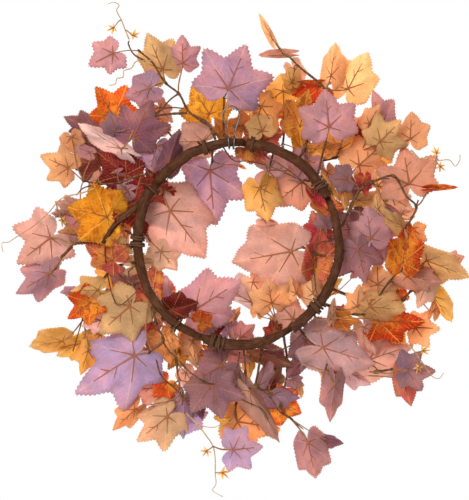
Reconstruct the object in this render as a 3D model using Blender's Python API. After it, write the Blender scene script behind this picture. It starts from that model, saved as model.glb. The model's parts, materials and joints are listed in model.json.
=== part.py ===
"""Harvest door wreath: a ring of moulded branch stems bound with wrapped wire, carrying sprays of leaves.

Everything is placed as seen from the door side, in millimetres from the ring's centre: across to the
viewer's right, up, and deep, which counts from the door towards the leafy front.
The part's own frame has +Z up, the door side at +Y and its origin where the door hook carries the loop.
"""

import itertools
import math

import bmesh
import bpy
from mathutils import Vector

MILLIMETRE = 0.001
GAP = 0.5                # air left between neighbouring pieces
WELD = 0.000001

RING_RADIUS = 131.0      # centre line of the stems that make the ring
RING_DEEP = 9.0          # centre line of the ring, in front of the door
STEM_RADIUS = 7.2        # a branch stem at its thick end
UNDER_DEEP = 23.0        # centre line of a thin stem end that lies under its neighbour

TIE_WIRE = 1.3           # radius of the wrapped binding wire
TIE_PITCH = 3.1          # advance of one turn along the ring
TURN_POINTS = 10

HANGER_WIRE = 1.0        # radius of the hanging loop's wire
HANGER_MIDDLE = -8.0     # the loop sits just left of the ring's top
HANGER_HEIGHT = 46.0     # hook's seat above the ring's centre line
HANGER_HOOK = (60.0, 360.0)      # where each end starts and leaves its turn round the ring, in degrees
HANGER_ENDS = (1.5, 4.5)         # how far from the loop's middle each end starts and leaves its turn
HANGER_SIDE = [(6.0, 18.0), (11.0, 34.0), (7.5, 43.8)]   # one side: across, and up from the ring

HOOK_ACROSS = HANGER_MIDDLE
HOOK_UP = RING_RADIUS + HANGER_HEIGHT
HOOK_DEEP = RING_DEEP

TWIG_HALF = 1.3          # half the thickness of a spray's stem
PETIOLE_HALF = 0.9       # half the thickness of a leaf stalk
STALK_LIFT = 2.6         # a stalk's height over its leaf before it turns in
STEEP = 0.5              # a stalk whose run over the leaf is a smaller share than this goes straight in
CLEAR_HEIGHT = 1.5       # a stalk that starts nearer than this to its leaf's plane keeps to the shown side
BLADE_THICKNESS = 0.9
BLADE_DROOP = 0.10       # how far a leaf's sides fall away, per unit of width
TENDRIL_RADIUS = 0.9

CREST_DEEP = 112.0       # the wreath's front is a dome that is deepest over the ring
RIM_DEEP = 40.0
DOME_WIDTH = 125.0

# Half of a lobed leaf: angle from its tip in degrees, and reach as a share of its length.
HALF_OUTLINE = [(180, 0.11), (150, 0.35), (117, 0.57), (88, 0.45), (55, 0.82), (27, 0.58)]
FULL_WIDTH = 1.34        # a flat leaf's width, as a share of its length

UNDER = 1                # the leaf shows its underside to the door
TOP = -1                 # the leaf shows its top face to the door

# The ring's stems, each from its blunt thick end: clock angle, off the ring's radius, lies under, thickness.
RING_STEMS = {
    "ring_stem_left": [
        (301, 2, 0, 1.0), (292, 1, 0, 1.0), (270, -1, 0, 0.95), (245, 0, 0, 0.92), (222, 1, 0, 0.88),
        (208, 0, 0, 0.82), (200, 0, 1, 0.72), (184, 0, 1, 0.6),
    ],
    "ring_stem_bottom": [
        (199, 1, 0, 0.9), (190, 1, 0, 1.0), (175, 2, 0, 1.0), (163, 1, 0, 0.9), (155, 0, 0, 0.8),
        (147, 0, 1, 0.72), (134, 0, 1, 0.62),
    ],
    "ring_stem_right": [
        (147.5, 1, 0, 1.0), (138, 0, 0, 0.97), (120, 1, 0, 0.95), (98, 2, 0, 0.9), (78, 0, 0, 0.85),
        (70, 0, 0, 0.8), (62, 0, 1, 0.72), (50, 0, 1, 0.6),
    ],
    "ring_stem_upper_right": [
        (62.5, 0, 0, 0.95), (54, 0, 0, 1.0), (38, 1, 0, 0.95), (20, 0, 0, 0.95), (5.4, -1, 0, 1.0),
    ],
    "ring_stem_top": [
        (17, -1, 1, 0.6), (11, 0, 1, 0.72), (5, 0, 1, 0.8), (-1.5, 0, 0, 0.85), (-10, 0, 0, 0.9),
        (-30, 1, 0, 0.95), (-47, 0, 0, 0.95), (-54, 0, 1, 0.9), (-62, 2, 1, 0.85), (-70, 8, 1, 0.8),
        (-80, 28, 1, 0.7), (-90, 44, 0, 0.55),
    ],
}

# The binding wires: (clock angle, turns, off the ring's radius, stem thickness, over a doubled stem).
TIES = {
    "tie_bottom": (192, 5.5, 1, 1.02, True),
    "tie_lower_left": (217, 1.5, 1, 0.9, False),
    "tie_left": (271, 4.5, -1, 0.96, False),
    "tie_upper_left": (-58, 1.5, 1, 1.0, True),
    "tie_top_left": (-19, 2.5, 0.5, 1.0, False),
    "tie_top": (9, 1.5, -0.7, 1.0, True),
    "tie_upper_right": (55, 3.5, 0, 1.0, True),
    "tie_lower_right": (129, 3.5, 0.5, 0.97, False),
}

FABRIC_COLOURS = {
    "mauve": (0.46, 0.26, 0.34), "lilac": (0.46, 0.33, 0.50), "pink_peach": (0.78, 0.41, 0.34),
    "rose": (0.50, 0.22, 0.22), "crimson": (0.24, 0.025, 0.03), "orange": (0.86, 0.32, 0.11),
    "amber": (0.86, 0.40, 0.08), "tan": (0.64, 0.38, 0.17),
}

# Each spray: its fabric, its stem's route (across, up, deep), then its leaves: the route point that the
# stalk leaves from, stalk end, tip, width, depth, and the face shown to the door.
SPRAYS = {
    "top_spray": ("mauve", [(-29, 135, 18), (-32, 144, 22), (-42, 159, 24), (-62, 170, 25),
        (-77, 195, 26), (-94, 209, 25), (-109, 233, 22), (-127, 250, 18)], [
        (7, (-159, 251), (-196, 225), 49, 14, UNDER),
        (5, (-99, 230), (-118, 276), 44, 34, UNDER),
        (4, (-75, 231), (-70, 274), 47, 44, UNDER),
        (5, (-114, 203), (-150, 182), 51, 15, UNDER),
    ]),
    "upper_left_spray": ("mauve", [(-66, 170, 27), (-94, 168, 26), (-114, 164, 25), (-132, 153, 24)], [
        (3, (-161, 147), (-166, 173), 55, 30, UNDER),
        (3, (-151, 125), (-214, 159), 26, 18, UNDER),
    ]),
    "upper_left_front_spray": ("amber", [(-66, 117, 18), (-66, 121, 58), (-80, 134, 64), (-101, 157, 66)],
        [
        (2, (-32, 170), (-62, 202), 58, 58, TOP),
        (3, (-162, 169), (-192, 202), 65, 60, TOP),
        (3, (-98, 146), (-101, 181), 34, 78, UNDER),
        (1, (-107, 125), (-116, 87), 52, 36, UNDER),
    ]),
    "top_leaf_spray": ("mauve", [(-15, 138, 18), (-18, 144, 40), (-18, 162, 34), (-18, 188, 20)], [
        (3, (-15, 202), (18, 263), 95, 14, UNDER),
        (1, (3, 150), (-20, 152), 16, 44, UNDER),
    ]),
    "top_middle_spray": ("tan", [(25, 129, 30), (27, 136, 44)], [
        (1, (32, 147), (24, 176), 46, 36, UNDER),
        (1, (12, 146), (6, 178), 26, 52, UNDER),
    ]),
    "left_upper_spray": ("orange", [(-110, 86, 18), (-114, 90, 22), (-133, 87, 22), (-153, 79, 22),
        (-179, 77, 20), (-200, 81, 20)], [
        (5, (-216, 95), (-253, 117), 65, 28, UNDER),
        (5, (-192, 118), (-213, 126), 21, 14, UNDER),
        (3, (-145, 69), (-174, 74), 31, 34, UNDER),
    ]),
    "left_crimson_spray": ("crimson", [(-80, 108, 18), (-81, 112, 52), (-114, 104, 54), (-136, 92, 54)], [
        (3, (-150, 92), (-185, 121), 55, 46, TOP),
        (3, (-148, 87), (-175, 65), 39, 66, TOP),
        (2, (-189, 150), (-227, 168), 39, 50, UNDER),
    ]),
    "left_orange_spray": ("tan", [(-137, 9, 18), (-142, 14, 46), (-163, 22, 50)], [
        (1, (-148, -4), (-166, -16), 29, 30, UNDER),
        (2, (-155, 27), (-150, -9), 29, 60, UNDER),
        (2, (-202, 36), (-231, 40), 42, 46, UNDER),
    ]),
    "left_large_spray": ("mauve", [(-136, -1, 18), (-142, -3, 26), (-179, -1, 22), (-211, -1, 12),
        (-228, -17, 8)], [
        (4, (-242, -40), (-288, -66), 55, 12, UNDER),
        (3, (-242, 9), (-283, -25), 91, 20, UNDER),
        (2, (-200, 9), (-233, 5), 16, 30, UNDER),
        (2, (-179, 38), (-222, 42), 65, 24, TOP),
    ]),
    "left_low_spray": ("tan", [(-136, -25, 18), (-142, -27, 34), (-163, -32, 40), (-181, -56, 44),
        (-200, -98, 40)], [
        (3, (-181, -58), (-216, -64), 34, 24, UNDER),
        (3, (-192, -74), (-222, -101), 39, 34, TOP),
        (4, (-226, -124), (-279, -134), 42, 28, UNDER),
        (4, (-198, -143), (-205, -172), 30, 30, UNDER),
        (4, (-179, -120), (-200, -118), 26, 46, UNDER),
    ]),
    "lower_left_beige_spray": ("tan", [(-125, -51, 18), (-133, -53, 28), (-137, -66, 26)], [
        (2, (-140, -82), (-180, -117), 83, 20, UNDER),
        (1, (-168, -38), (-158, -69), 34, 60, UNDER),
    ]),
    "lower_left_lilac_spray": ("lilac", [(-111, -61, 18), (-111, -74, 24), (-106, -105, 24),
        (-97, -127, 20), (-114, -142, 16)], [
        (4, (-133, -147), (-202, -191), 98, 12, UNDER),
        (2, (-112, -84), (-85, -101), 16, 30, UNDER),
        (3, (-101, -126), (-88, -162), 36, 46, TOP),
        (3, (-114, -144), (-97, -172), 23, 36, UNDER),
    ]),
    "bottom_left_spray": ("tan", [(-77, -96, 18), (-85, -113, 36), (-80, -155, 32), (-77, -178, 28),
        (-72, -196, 26)], [
        (4, (-93, -226), (-132, -261), 65, 14, UNDER),
        (4, (-70, -209), (-71, -256), 31, 32, UNDER),
        (4, (-88, -183), (-114, -207), 36, 40, TOP),
        (3, (-31, -183), (-23, -225), 75, 20, UNDER),
    ]),
    "bottom_middle_spray": ("rose", [(-44, -124, 30), (-45, -127, 44)], [
        (1, (-59, -129), (-50, -172), 29, 34, UNDER),
        (1, (-62, -117), (-81, -142), 26, 54, TOP),
    ]),
    "bottom_rose_spray": ("rose", [(8, -134, 18), (7, -133, 41), (-1, -129, 44)], [
        (2, (-16, -142), (21, -157), 26, 42, UNDER),
        (2, (3, -118), (21, -108), 26, 48, UNDER),
        (2, (-15, -117), (-12, -95), 21, 54, UNDER),
    ]),
    "bottom_fan_spray": ("pink_peach", [(32, -127, 18), (32, -136, 30), (27, -168, 30), (25, -186, 30),
        (40, -195, 30)], [
        (3, (19, -194), (57, -257), 31, 24, UNDER),
        (3, (29, -187), (42, -151), 26, 40, UNDER),
        (4, (42, -188), (63, -148), 36, 48, UNDER),
        (4, (68, -181), (85, -186), 23, 46, UNDER),
    ]),
    "bottom_right_spray": ("rose", [(60, -122, 31), (62, -129, 68), (66, -168, 70), (57, -214, 42),
        (70, -230, 30)], [
        (4, (89, -260), (102, -312), 55, 20, UNDER),
        (3, (54, -214), (81, -235), 52, 56, TOP),
        (4, (112, -256), (138, -257), 18, 34, UNDER),
    ]),
    "bottom_orange_spray": ("amber", [(19, -133, 18), (16, -142, 64), (8, -178, 64), (-2, -211, 52)], [
        (1, (16, -150), (16, -181), 21, 58, UNDER),
        (3, (-2, -229), (51, -240), 60, 40, UNDER),
        (3, (-5, -231), (-20, -246), 34, 52, UNDER),
    ]),
    "lower_right_pink_spray": ("mauve", [(77, -107, 30), (86, -118, 26), (97, -129, 18)], [
        (2, (112, -138), (188, -160), 91, 14, UNDER),
        (1, (85, -130), (85, -170), 44, 42, UNDER),
        (1, (123, -98), (125, -72), 13, 26, UNDER),
    ]),
    "lower_right_mauve_spray": ("mauve", [(94, -86, 18), (99, -92, 44), (120, -133, 40), (115, -165, 30)],
        [
        (3, (123, -188), (122, -239), 35, 22, UNDER),
        (2, (167, -113), (180, -152), 34, 34, UNDER),
        (3, (125, -170), (123, -194), 34, 44, UNDER),
    ]),
    "right_low_spray": ("orange", [(105, -70, 18), (110, -77, 34), (140, -91, 34), (167, -92, 34),
        (183, -72, 34), (198, -51, 32), (211, -35, 30)], [
        (1, (157, -84), (154, -58), 35, 24, UNDER),
        (4, (177, -84), (224, -95), 42, 20, UNDER),
        (3, (185, -103), (242, -103), 60, 44, TOP),
        (6, (222, -42), (272, -52), 36, 18, UNDER),
        (6, (219, -25), (223, 27), 49, 24, TOP),
        (3, (138, -90), (129, -82), 18, 44, UNDER),
    ]),
    "right_tan_spray": ("tan", [(218, -74, 46), (228, -62, 44), (239, -53, 40)], [
        (2, (250, -25), (298, -49), 47, 26, UNDER),
        (2, (253, -53), (233, -78), 34, 30, UNDER),
        (0, (201, -53), (206, -74), 39, 54, TOP),
        (1, (258, -74), (285, -100), 29, 40, UNDER),
    ]),
    "right_peach_spray": ("orange", [(115, -55, 18), (120, -58, 62), (159, -74, 66), (209, -98, 62)], [
        (3, (231, -114), (265, -112), 47, 54, UNDER),
        (2, (115, -58), (133, -51), 23, 70, UNDER),
    ]),
    "lower_right_crimson_spray": ("mauve", [(183, -168, 26), (201, -165, 26)], [
        (1, (218, -168), (255, -169), 46, 18, UNDER),
        (1, (215, -170), (226, -213), 49, 37, UNDER),
    ]),
    "right_spray": ("pink_peach", [(136, 22, 18), (146, 43, 22), (159, 69, 22), (174, 78, 20),
        (203, 87, 10), (220, 61, 5), (232, 48, 7), (226, 32, 10), (220, 23, 10)], [
        (4, (222, 72), (214, 131), 81, 19, UNDER),
        (3, (184, 75), (202, 92), 34, 44, UNDER),
        (2, (162, 58), (206, 56), 26, 50, UNDER),
        (8, (215, 20), (187, 51), 21, 15, UNDER),
        (2, (142, 84), (120, 87), 36, 16, UNDER),
    ]),
    "right_mauve_spray": ("mauve", [(135, -12, 18), (144, -9, 34)], [
        (1, (163, -18), (200, -25), 62, 20, UNDER),
        (1, (174, 12), (170, 46), 42, 28, UNDER),
        (1, (196, 16), (214, 22), 21, 46, UNDER),
    ]),
    "right_upper_spray": ("orange", [(114, 65, 31), (123, 77, 42), (149, 92, 43)], [
        (2, (159, 100), (192, 131), 52, 35, UNDER),
    ]),
    "right_tan_upper_spray": ("tan", [(89, 96, 18), (93, 103, 50), (128, 112, 48), (162, 121, 42)], [
        (3, (183, 134), (209, 159), 42, 18, UNDER),
        (3, (174, 155), (190, 181), 26, 32, UNDER),
        (2, (167, 127), (214, 129), 39, 68, UNDER),
        (3, (192, 157), (176, 200), 31, 48, UNDER),
        (3, (228, 131), (223, 173), 43, 32, UNDER),
    ]),
    "upper_right_mauve_spray": ("mauve", [(105, 91, 18), (107, 98, 26), (115, 131, 20)], [
        (2, (118, 150), (110, 202), 72, 14, UNDER),
    ]),
    "upper_right_spray": ("tan", [(81, 113, 18), (86, 121, 28), (102, 160, 27), (115, 196, 25),
        (97, 217, 22), (79, 231, 20)], [
        (5, (49, 260), (28, 300), 13, 14, UNDER),
        (5, (77, 250), (28, 242), 13, 22, UNDER),
        (3, (124, 218), (129, 265), 31, 20, UNDER),
        (3, (144, 198), (171, 244), 65, 34, UNDER),
        (3, (110, 204), (59, 202), 36, 52, TOP),
    ]),
    "upper_right_front_spray": ("amber", [(60, 125, 18), (60, 130, 66), (63, 157, 70)], [
        (2, (55, 199), (32, 176), 47, 50, UNDER),
        (2, (60, 165), (81, 178), 31, 76, TOP),
        (1, (80, 129), (73, 160), 31, 58, TOP),
    ]),
    "inner_left_spray": ("pink_peach", [(-101, 94, 24), (-97, 84, 26), (-97, 64, 26)], [
        (2, (-85, 44), (-37, -18), 95, 26, UNDER),
    ]),
    "inner_top_spray": ("mauve", [(-33, 131, 18), (-33, 121, 38), (-33, 108, 40)], [
        (2, (-33, 92), (-36, 22), 81, 48, UNDER),
    ]),
    "inner_right_spray": ("pink_peach", [(93, 81, 18), (89, 82, 40), (84, 84, 46)], [
        (2, (83, 78), (42, 56), 65, 52, UNDER),
    ]),
    "inner_amber_spray": ("amber", [(50, 124, 18), (47, 117, 34), (42, 100, 36)], [
        (2, (27, 73), (40, 32), 49, 38, UNDER),
    ]),
    "inner_large_spray": ("pink_peach", [(129, -17, 18), (118, -17, 26), (102, -14, 26), (86, -6, 26)], [
        (3, (67, -9), (-8, -29), 98, 26, UNDER),
        (1, (115, 22), (105, 40), 26, 32, UNDER),
        (1, (110, 14), (97, 38), 36, 50, UNDER),
    ]),
    "inner_low_spray": ("orange", [(54, -118, 18), (51, -103, 38)], [
        (1, (46, -77), (40, -43), 78, 44, UNDER),
        (1, (45, -118), (49, -92), 29, 48, TOP),
    ]),
    "inner_mauve_spray": ("mauve", [(-67, -95, 18), (-66, -92, 42)], [
        (1, (-54, -84), (10, -46), 78, 32, UNDER),
        (1, (-85, -72), (-97, -35), 21, 44, UNDER),
        (0, (-49, -103), (-31, -92), 29, 24, TOP),
    ]),
    "inner_tan_spray": ("tan", [(-119, 13, 18), (-114, 4, 20)], [
        (1, (-105, -9), (-73, -39), 39, 22, UNDER),
    ]),
}

# Tendrils, in the same form but for the fabric: a curling stem with small leaflets.
TENDRILS = {
    "tendril_top": ([(-141, 265, 12), (-146, 277, 10), (-151, 290, 9), (-157, 302, 8), (-154, 309, 8),
        (-161, 313, 9), (-168, 311, 10)], [
        (1, (-136, 270), (-125, 274), 12, 12, UNDER),
        (2, (-161, 280), (-171, 276), 12, 10, UNDER),
    ]),
    "tendril_left": ([(-185, 72, 8), (-202, 65, 8), (-224, 60, 8), (-235, 52, 8), (-246, 39, 8),
        (-265, 22, 8), (-287, 8, 8), (-298, 1, 8), (-306, 0, 9), (-305, -12, 10)], [
        (3, (-228, 30), (-220, 17), 12, 8, UNDER),
    ]),
    "tendril_right": ([(226, 121, 11), (237, 110, 10), (248, 109, 9), (257, 107, 9), (275, 108, 9),
        (283, 100, 10), (289, 108, 10), (289, 116, 9)], [
        (3, (259, 117), (255, 127), 12, 10, UNDER),
        (3, (263, 100), (271, 94), 12, 10, UNDER),
    ]),
    "tendril_lower_right": ([(220, -130, 12), (231, -142, 10), (240, -155, 9), (253, -173, 9),
        (262, -176, 9), (268, -169, 10)], [
        (1, (241, -140), (254, -139), 13, 9, UNDER),
        (2, (236, -161), (232, -170), 12, 8, UNDER),
    ]),
    "tendril_bottom": ([(-67, -221, 8), (-53, -235, 8), (-41, -250, 8), (-32, -264, 8), (-29, -280, 8),
        (-29, -298, 8), (-28, -313, 8), (-32, -322, 9), (-19, -330, 9)], [
        (3, (-40, -270), (-46, -278), 13, 8, UNDER),
        (5, (-20, -298), (-10, -307), 14, 8, UNDER),
        (3, (-6, -269), (34, -265), 60, 11, UNDER),
    ]),
}

def place(across, up, deep):
    """A point in the part's frame."""
    return Vector((HOOK_ACROSS - across, HOOK_DEEP - deep, up - HOOK_UP)) * MILLIMETRE


def on_ring(clock, radius=RING_RADIUS, deep=RING_DEEP):
    """A point given by its clock angle in degrees, clockwise from the top."""
    angle = math.radians(clock)
    return Vector((radius * math.sin(angle), radius * math.cos(angle), deep))


def smooth_route(points, steps):
    """A Catmull-Rom curve through hand-placed points, with a number of steps to each stretch."""
    points = [Vector(p) for p in points]
    ends = [2 * points[0] - points[1]] + points + [2 * points[-1] - points[-2]]
    route = []
    for before, start, end, after in zip(ends, ends[1:], ends[2:], ends[3:]):
        for step in range(steps):
            t = step / steps
            route.append(0.5 * (2 * start + (end - before) * t
                                + (2 * before - 5 * start + 4 * end - after) * t * t
                                + (3 * start - before - 3 * end + after) * t ** 3))
    return route + [points[-1]]


def material(name, colour, roughness, metallic=0.0):
    made = bpy.data.materials.get(name)
    if made is None:
        made = bpy.data.materials.new(name)
        made.use_nodes = True
        shader = made.node_tree.nodes["Principled BSDF"]
        shader.inputs["Base Color"].default_value = (*colour, 1.0)
        shader.inputs["Roughness"].default_value = roughness
        shader.inputs["Metallic"].default_value = metallic
    return made


def moulded_bark():
    return material("moulded_bark", (0.065, 0.034, 0.018), 0.55)


def wrapped_wire():
    return material("wrapped_wire", (0.045, 0.030, 0.020), 0.8)


def galvanised_wire():
    return material("galvanised_wire", (0.42, 0.43, 0.43), 0.35, 1.0)


def tendril_plastic():
    return material("tendril_plastic", (0.52, 0.27, 0.13), 0.5)


def leaf_fabric(colour):
    return material("leaf_fabric_" + colour, FABRIC_COLOURS[colour], 0.75)


def add_mesh(name, bm, made_of, pivot):
    """A piece from its built mesh, with its origin at the pivot."""
    bmesh.ops.translate(bm, verts=bm.verts, vec=-pivot)
    mesh = bpy.data.meshes.new(name)
    bm.to_mesh(mesh)
    bm.free()
    mesh.materials.clear()
    mesh.materials.append(made_of)
    made = bpy.data.objects.new(name, mesh)
    made.location = pivot
    bpy.context.scene.collection.objects.link(made)
    return mesh


def swept_circle(route, radii, resolution):
    """The mesh of a round tube along a route in millimetres, closed at both ends."""
    curve = bpy.data.curves.new("tube", "CURVE")
    curve.dimensions = "3D"
    curve.twist_mode = "MINIMUM"
    curve.bevel_depth = MILLIMETRE
    curve.bevel_resolution = resolution
    curve.use_fill_caps = True
    spline = curve.splines.new("POLY")
    spline.points.add(len(route) - 1)
    for point, where, radius in zip(spline.points, route, radii):
        point.co = (*place(*where), 1.0)
        point.radius = radius
    holder = bpy.data.objects.new("tube", curve)
    mesh = bpy.data.meshes.new_from_object(holder)
    bpy.data.objects.remove(holder)
    return mesh


def add_tube(name, route, radii, made_of, resolution, pivot=Vector()):
    """A round tube with blunt closed ends, shaded smooth between them."""
    bm = bmesh.new()
    bm.from_mesh(swept_circle(route, radii, resolution))
    bmesh.ops.remove_doubles(bm, verts=bm.verts, dist=WELD)
    bmesh.ops.recalc_face_normals(bm, faces=bm.faces)
    mesh = add_mesh(name, bm, made_of, pivot)
    mesh.shade_smooth()
    mesh.set_sharp_from_angle(angle=math.radians(50))


def add_ring_stem(name, stations):
    """One stem of the ring: stations are clock angle, radius, deep, and share of the full thickness."""
    points = [on_ring(clock, radius, deep) for clock, radius, deep, _ in stations]
    route = smooth_route(points, 3)
    shares = smooth_route([Vector((share, 0, 0)) for *_, share in stations], 3)
    add_tube(name, route, [STEM_RADIUS * share.x for share in shares], moulded_bark(), 2)


def add_ring():
    over, under = RING_DEEP, UNDER_DEEP
    for name, stations in RING_STEMS.items():
        add_ring_stem(name, [(clock, RING_RADIUS + off, under if low else over, share)
                             for clock, off, low, share in stations])


def bound_outline(angle, half_wide, half_deep, stretch):
    """Where a binding turn lies round one stem, or round two stems whose centres are stretch apart."""
    lift = math.sin(angle)
    centre = stretch / 2 if lift > 0 else -stretch / 2
    if abs(lift) < 1e-6:
        centre = 0.0
    return half_wide * math.cos(angle), centre + half_deep * lift


def add_tie(name, clock, turns, radius_off, share, doubled):
    """A wrapped wire wound round the ring, over one stem or over a stem and the end lying under it."""
    stretch = UNDER_DEEP - RING_DEEP if doubled else 0.0
    reach = (STEM_RADIUS * share + TIE_WIRE + GAP) / math.cos(math.pi / TURN_POINTS)
    middle = RING_DEEP + stretch / 2
    route = []
    for step in range(round(turns * TURN_POINTS) + 1):
        turn = step / TURN_POINTS
        outward, deep = bound_outline(math.tau * turn + 0.3, reach, reach, stretch)
        advance = math.degrees((turn - turns / 2) * TIE_PITCH / RING_RADIUS)
        route.append(on_ring(clock + advance, RING_RADIUS + radius_off + outward, middle + deep))
    add_tube(name, route, [TIE_WIRE] * len(route), wrapped_wire(), 0)


def add_ties():
    for name, tie in TIES.items():
        add_tie(name, *tie)


def add_hanger():
    """The hanging loop: each end of a wire hooked round the ring, and the wire raised in a loop between."""
    reach = (STEM_RADIUS + HANGER_WIRE + GAP) / math.cos(math.pi / TURN_POINTS)
    start, leave = HANGER_HOOK
    near, far = HANGER_ENDS
    side = []
    for step in range(TURN_POINTS - 1):
        share = step / (TURN_POINTS - 2)
        turn = math.radians(start + (leave - start) * share)
        side.append((near + (far - near) * share, RING_RADIUS + reach * math.cos(turn),
                     RING_DEEP + reach * math.sin(turn)))
    side += [(across, RING_RADIUS + up, RING_DEEP) for across, up in HANGER_SIDE]
    right = [(HANGER_MIDDLE + across, up, deep) for across, up, deep in side]
    left = [(HANGER_MIDDLE - across, up, deep) for across, up, deep in reversed(side)]
    seat = (HANGER_MIDDLE, HOOK_UP + HANGER_WIRE, RING_DEEP)
    route = smooth_route(right + [seat] + left, 2)
    pivot = place(HANGER_MIDDLE, RING_RADIUS, RING_DEEP)
    add_tube("hanging_loop", route, [HANGER_WIRE] * len(route), galvanised_wire(), 1, pivot)


def corner_ring(bm, centre, along, side, half):
    """Four corners of a square stem's section."""
    other = along.cross(side).normalized()
    return [bm.verts.new(centre + side * (right * half) + other * (top * half))
            for right, top in ((1, 1), (-1, 1), (-1, -1), (1, -1))]


def join_rings(bm, lower, upper):
    for i in range(4):
        j = (i + 1) % 4
        bm.faces.new((lower[i], lower[j], upper[j], upper[i]))


def middle_of(ring):
    return sum((v.co for v in ring), Vector()) / len(ring)


def in_step_with(ring, fresh):
    """The fresh ring's corners, in the order that lines them up with an existing ring."""
    here, there = middle_of(ring), middle_of(fresh)
    orders = []
    for way in (fresh, fresh[::-1]):
        for turn in range(4):
            order = way[turn:] + way[:turn]
            apart = sum(((a.co - here).normalized() - (b.co - there).normalized()).length
                        for a, b in zip(ring, order))
            orders.append((apart, turn, order))
    return min(orders, key=lambda found: found[:2])[2]


def side_across(along, side):
    """A direction across a stem that turns as little as it can from one section to the next."""
    kept = side - along * side.dot(along)
    return kept.normalized()


def first_side(along):
    deep_way = Vector((0, 0, 1))
    if abs(along.dot(deep_way)) > 0.9:
        deep_way = Vector((0, 1, 0))
    return along.cross(deep_way).normalized()


def dome_slope(across, up, deep):
    """How the leafy front's dome slopes at a point: change of depth per unit across and up."""
    radius = math.hypot(across, up)
    bulge = math.exp(-((radius - RING_RADIUS) / DOME_WIDTH) ** 2)
    front = RIM_DEEP + (CREST_DEEP - RIM_DEEP) * bulge
    share = max(0.0, deep - RING_DEEP) / (front - RING_DEEP)
    steep = -2 * (radius - RING_RADIUS) / DOME_WIDTH ** 2 * (CREST_DEEP - RIM_DEEP) * bulge * share
    return Vector((steep * across / radius, steep * up / radius))


def leaf_frame(leaf, start):
    """The leaf's own directions: along its middle rib, across it, and out of it on the stalk's side."""
    _, hub, tip, _, deep, face = leaf
    slope = dome_slope(*hub, deep)
    flat = (Vector(tip) - Vector(hub)).normalized()
    along = Vector((flat.x, flat.y, flat.dot(slope))).normalized()
    sideways = Vector((-flat.y, flat.x, slope.dot(Vector((-flat.y, flat.x)))))
    sideways = side_across(along, sideways)
    out = along.cross(sideways).normalized()
    height = out.dot(start - Vector((*hub, deep)))
    wrong_side = height < 0 if abs(height) > CLEAR_HEIGHT else out.z * face > 0
    return along, sideways, -out if wrong_side else out


def grow_stalk(bm, base, leave, hub, along_leaf, out):
    """Lofts a leaf stalk from a face's corners to the opening in the leaf; gives the opening's corners."""
    start = middle_of(base)
    above = hub + out * STALK_LIFT
    way = above - start
    travel = way - out * way.dot(out)
    steep = travel.length < STEEP * way.length
    travel = -along_leaf if travel.length < GAP else travel.normalized()
    arrive = above if steep else above - travel * 1.5
    landing = -out if steep else travel
    first = (leave + (arrive - start).normalized()).normalized()
    across = out.cross(travel).normalized()
    ring = base
    for centre, heading in ((start + leave * 1.3, first), (arrive, landing)):
        side = side_across(heading, across)
        fresh = in_step_with(ring, corner_ring(bm, centre, heading, side, PETIOLE_HALF))
        join_rings(bm, ring, fresh)
        ring = fresh
    opening = []
    for v in ring:
        offset = v.co - arrive
        right = math.copysign(PETIOLE_HALF, offset.dot(across))
        forward = math.copysign(PETIOLE_HALF, offset.dot(travel if steep else out))
        opening.append(bm.verts.new(hub + across * right + travel * forward))
    join_rings(bm, ring, opening)
    return opening


def grow_blade(bm, opening, hub, frame, length, width):
    """The lobed blade round the stalk's opening: two half faces above, two below, and its thin edge."""
    along, sideways, out = frame
    spread = width / FULL_WIDTH / length

    def spot(angle, reach, hand):
        x = reach * length * math.cos(math.radians(angle))
        y = reach * length * math.sin(math.radians(angle)) * spread
        return hub + along * x + sideways * (hand * y) - out * (y * BLADE_DROOP)

    def turned(v):
        offset = v.co - hub
        return math.atan2(offset.dot(sideways), offset.dot(along))

    front = min(opening, key=lambda v: abs(turned(v)))
    front, left, back, right = sorted(opening, key=lambda v: (turned(v) - turned(front)) % math.tau)
    notch, *lobes = HALF_OUTLINE
    outline = [spot(*notch, 1)] + [spot(*p, 1) for p in lobes] + [spot(0, 1, 1)]
    outline += [spot(*p, -1) for p in reversed(lobes)]
    upper = [bm.verts.new(p) for p in outline]
    lower = [bm.verts.new(p - out * BLADE_THICKNESS) for p in outline]
    tip = len(lobes) + 1
    bm.faces.new([front, left, back] + upper[:tip + 1])
    bm.faces.new([front] + upper[tip:] + [upper[0], back, right])
    bm.faces.new(lower[:tip + 1])
    bm.faces.new(lower[tip:] + [lower[0]])
    for i in range(len(upper)):
        j = (i + 1) % len(upper)
        bm.faces.new((upper[i], upper[j], lower[j], lower[i]))


def grow_leaf(bm, base, leave, leaf):
    _, hub, tip, width, deep, _ = leaf
    frame = leaf_frame(leaf, middle_of(base))
    centre = Vector((*hub, deep))
    opening = grow_stalk(bm, base, leave, centre, frame[0], frame[2])
    grow_blade(bm, opening, centre, frame, (Vector(tip) - Vector(hub)).length, width)


def share_out(faces, leaves):
    """Gives each leaf at a fork the face of the fork that points most nearly towards it."""
    def turned_away(chosen):
        total = 0.0
        for (corners, leave), leaf in zip(chosen, leaves):
            start = middle_of(corners)
            out = leaf_frame(leaf, start)[2]
            way = Vector((*leaf[1], leaf[4])) + out * STALK_LIFT - start
            total += 1 - way.normalized().dot(leave)
        return total
    return min(itertools.permutations(faces, len(leaves)), key=turned_away)


def headings(route):
    ways = [(b - a).normalized() for a, b in zip(route, route[1:])]
    return [ways[0]] + [(a + b).normalized() for a, b in zip(ways, ways[1:])] + [ways[-1]]


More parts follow.
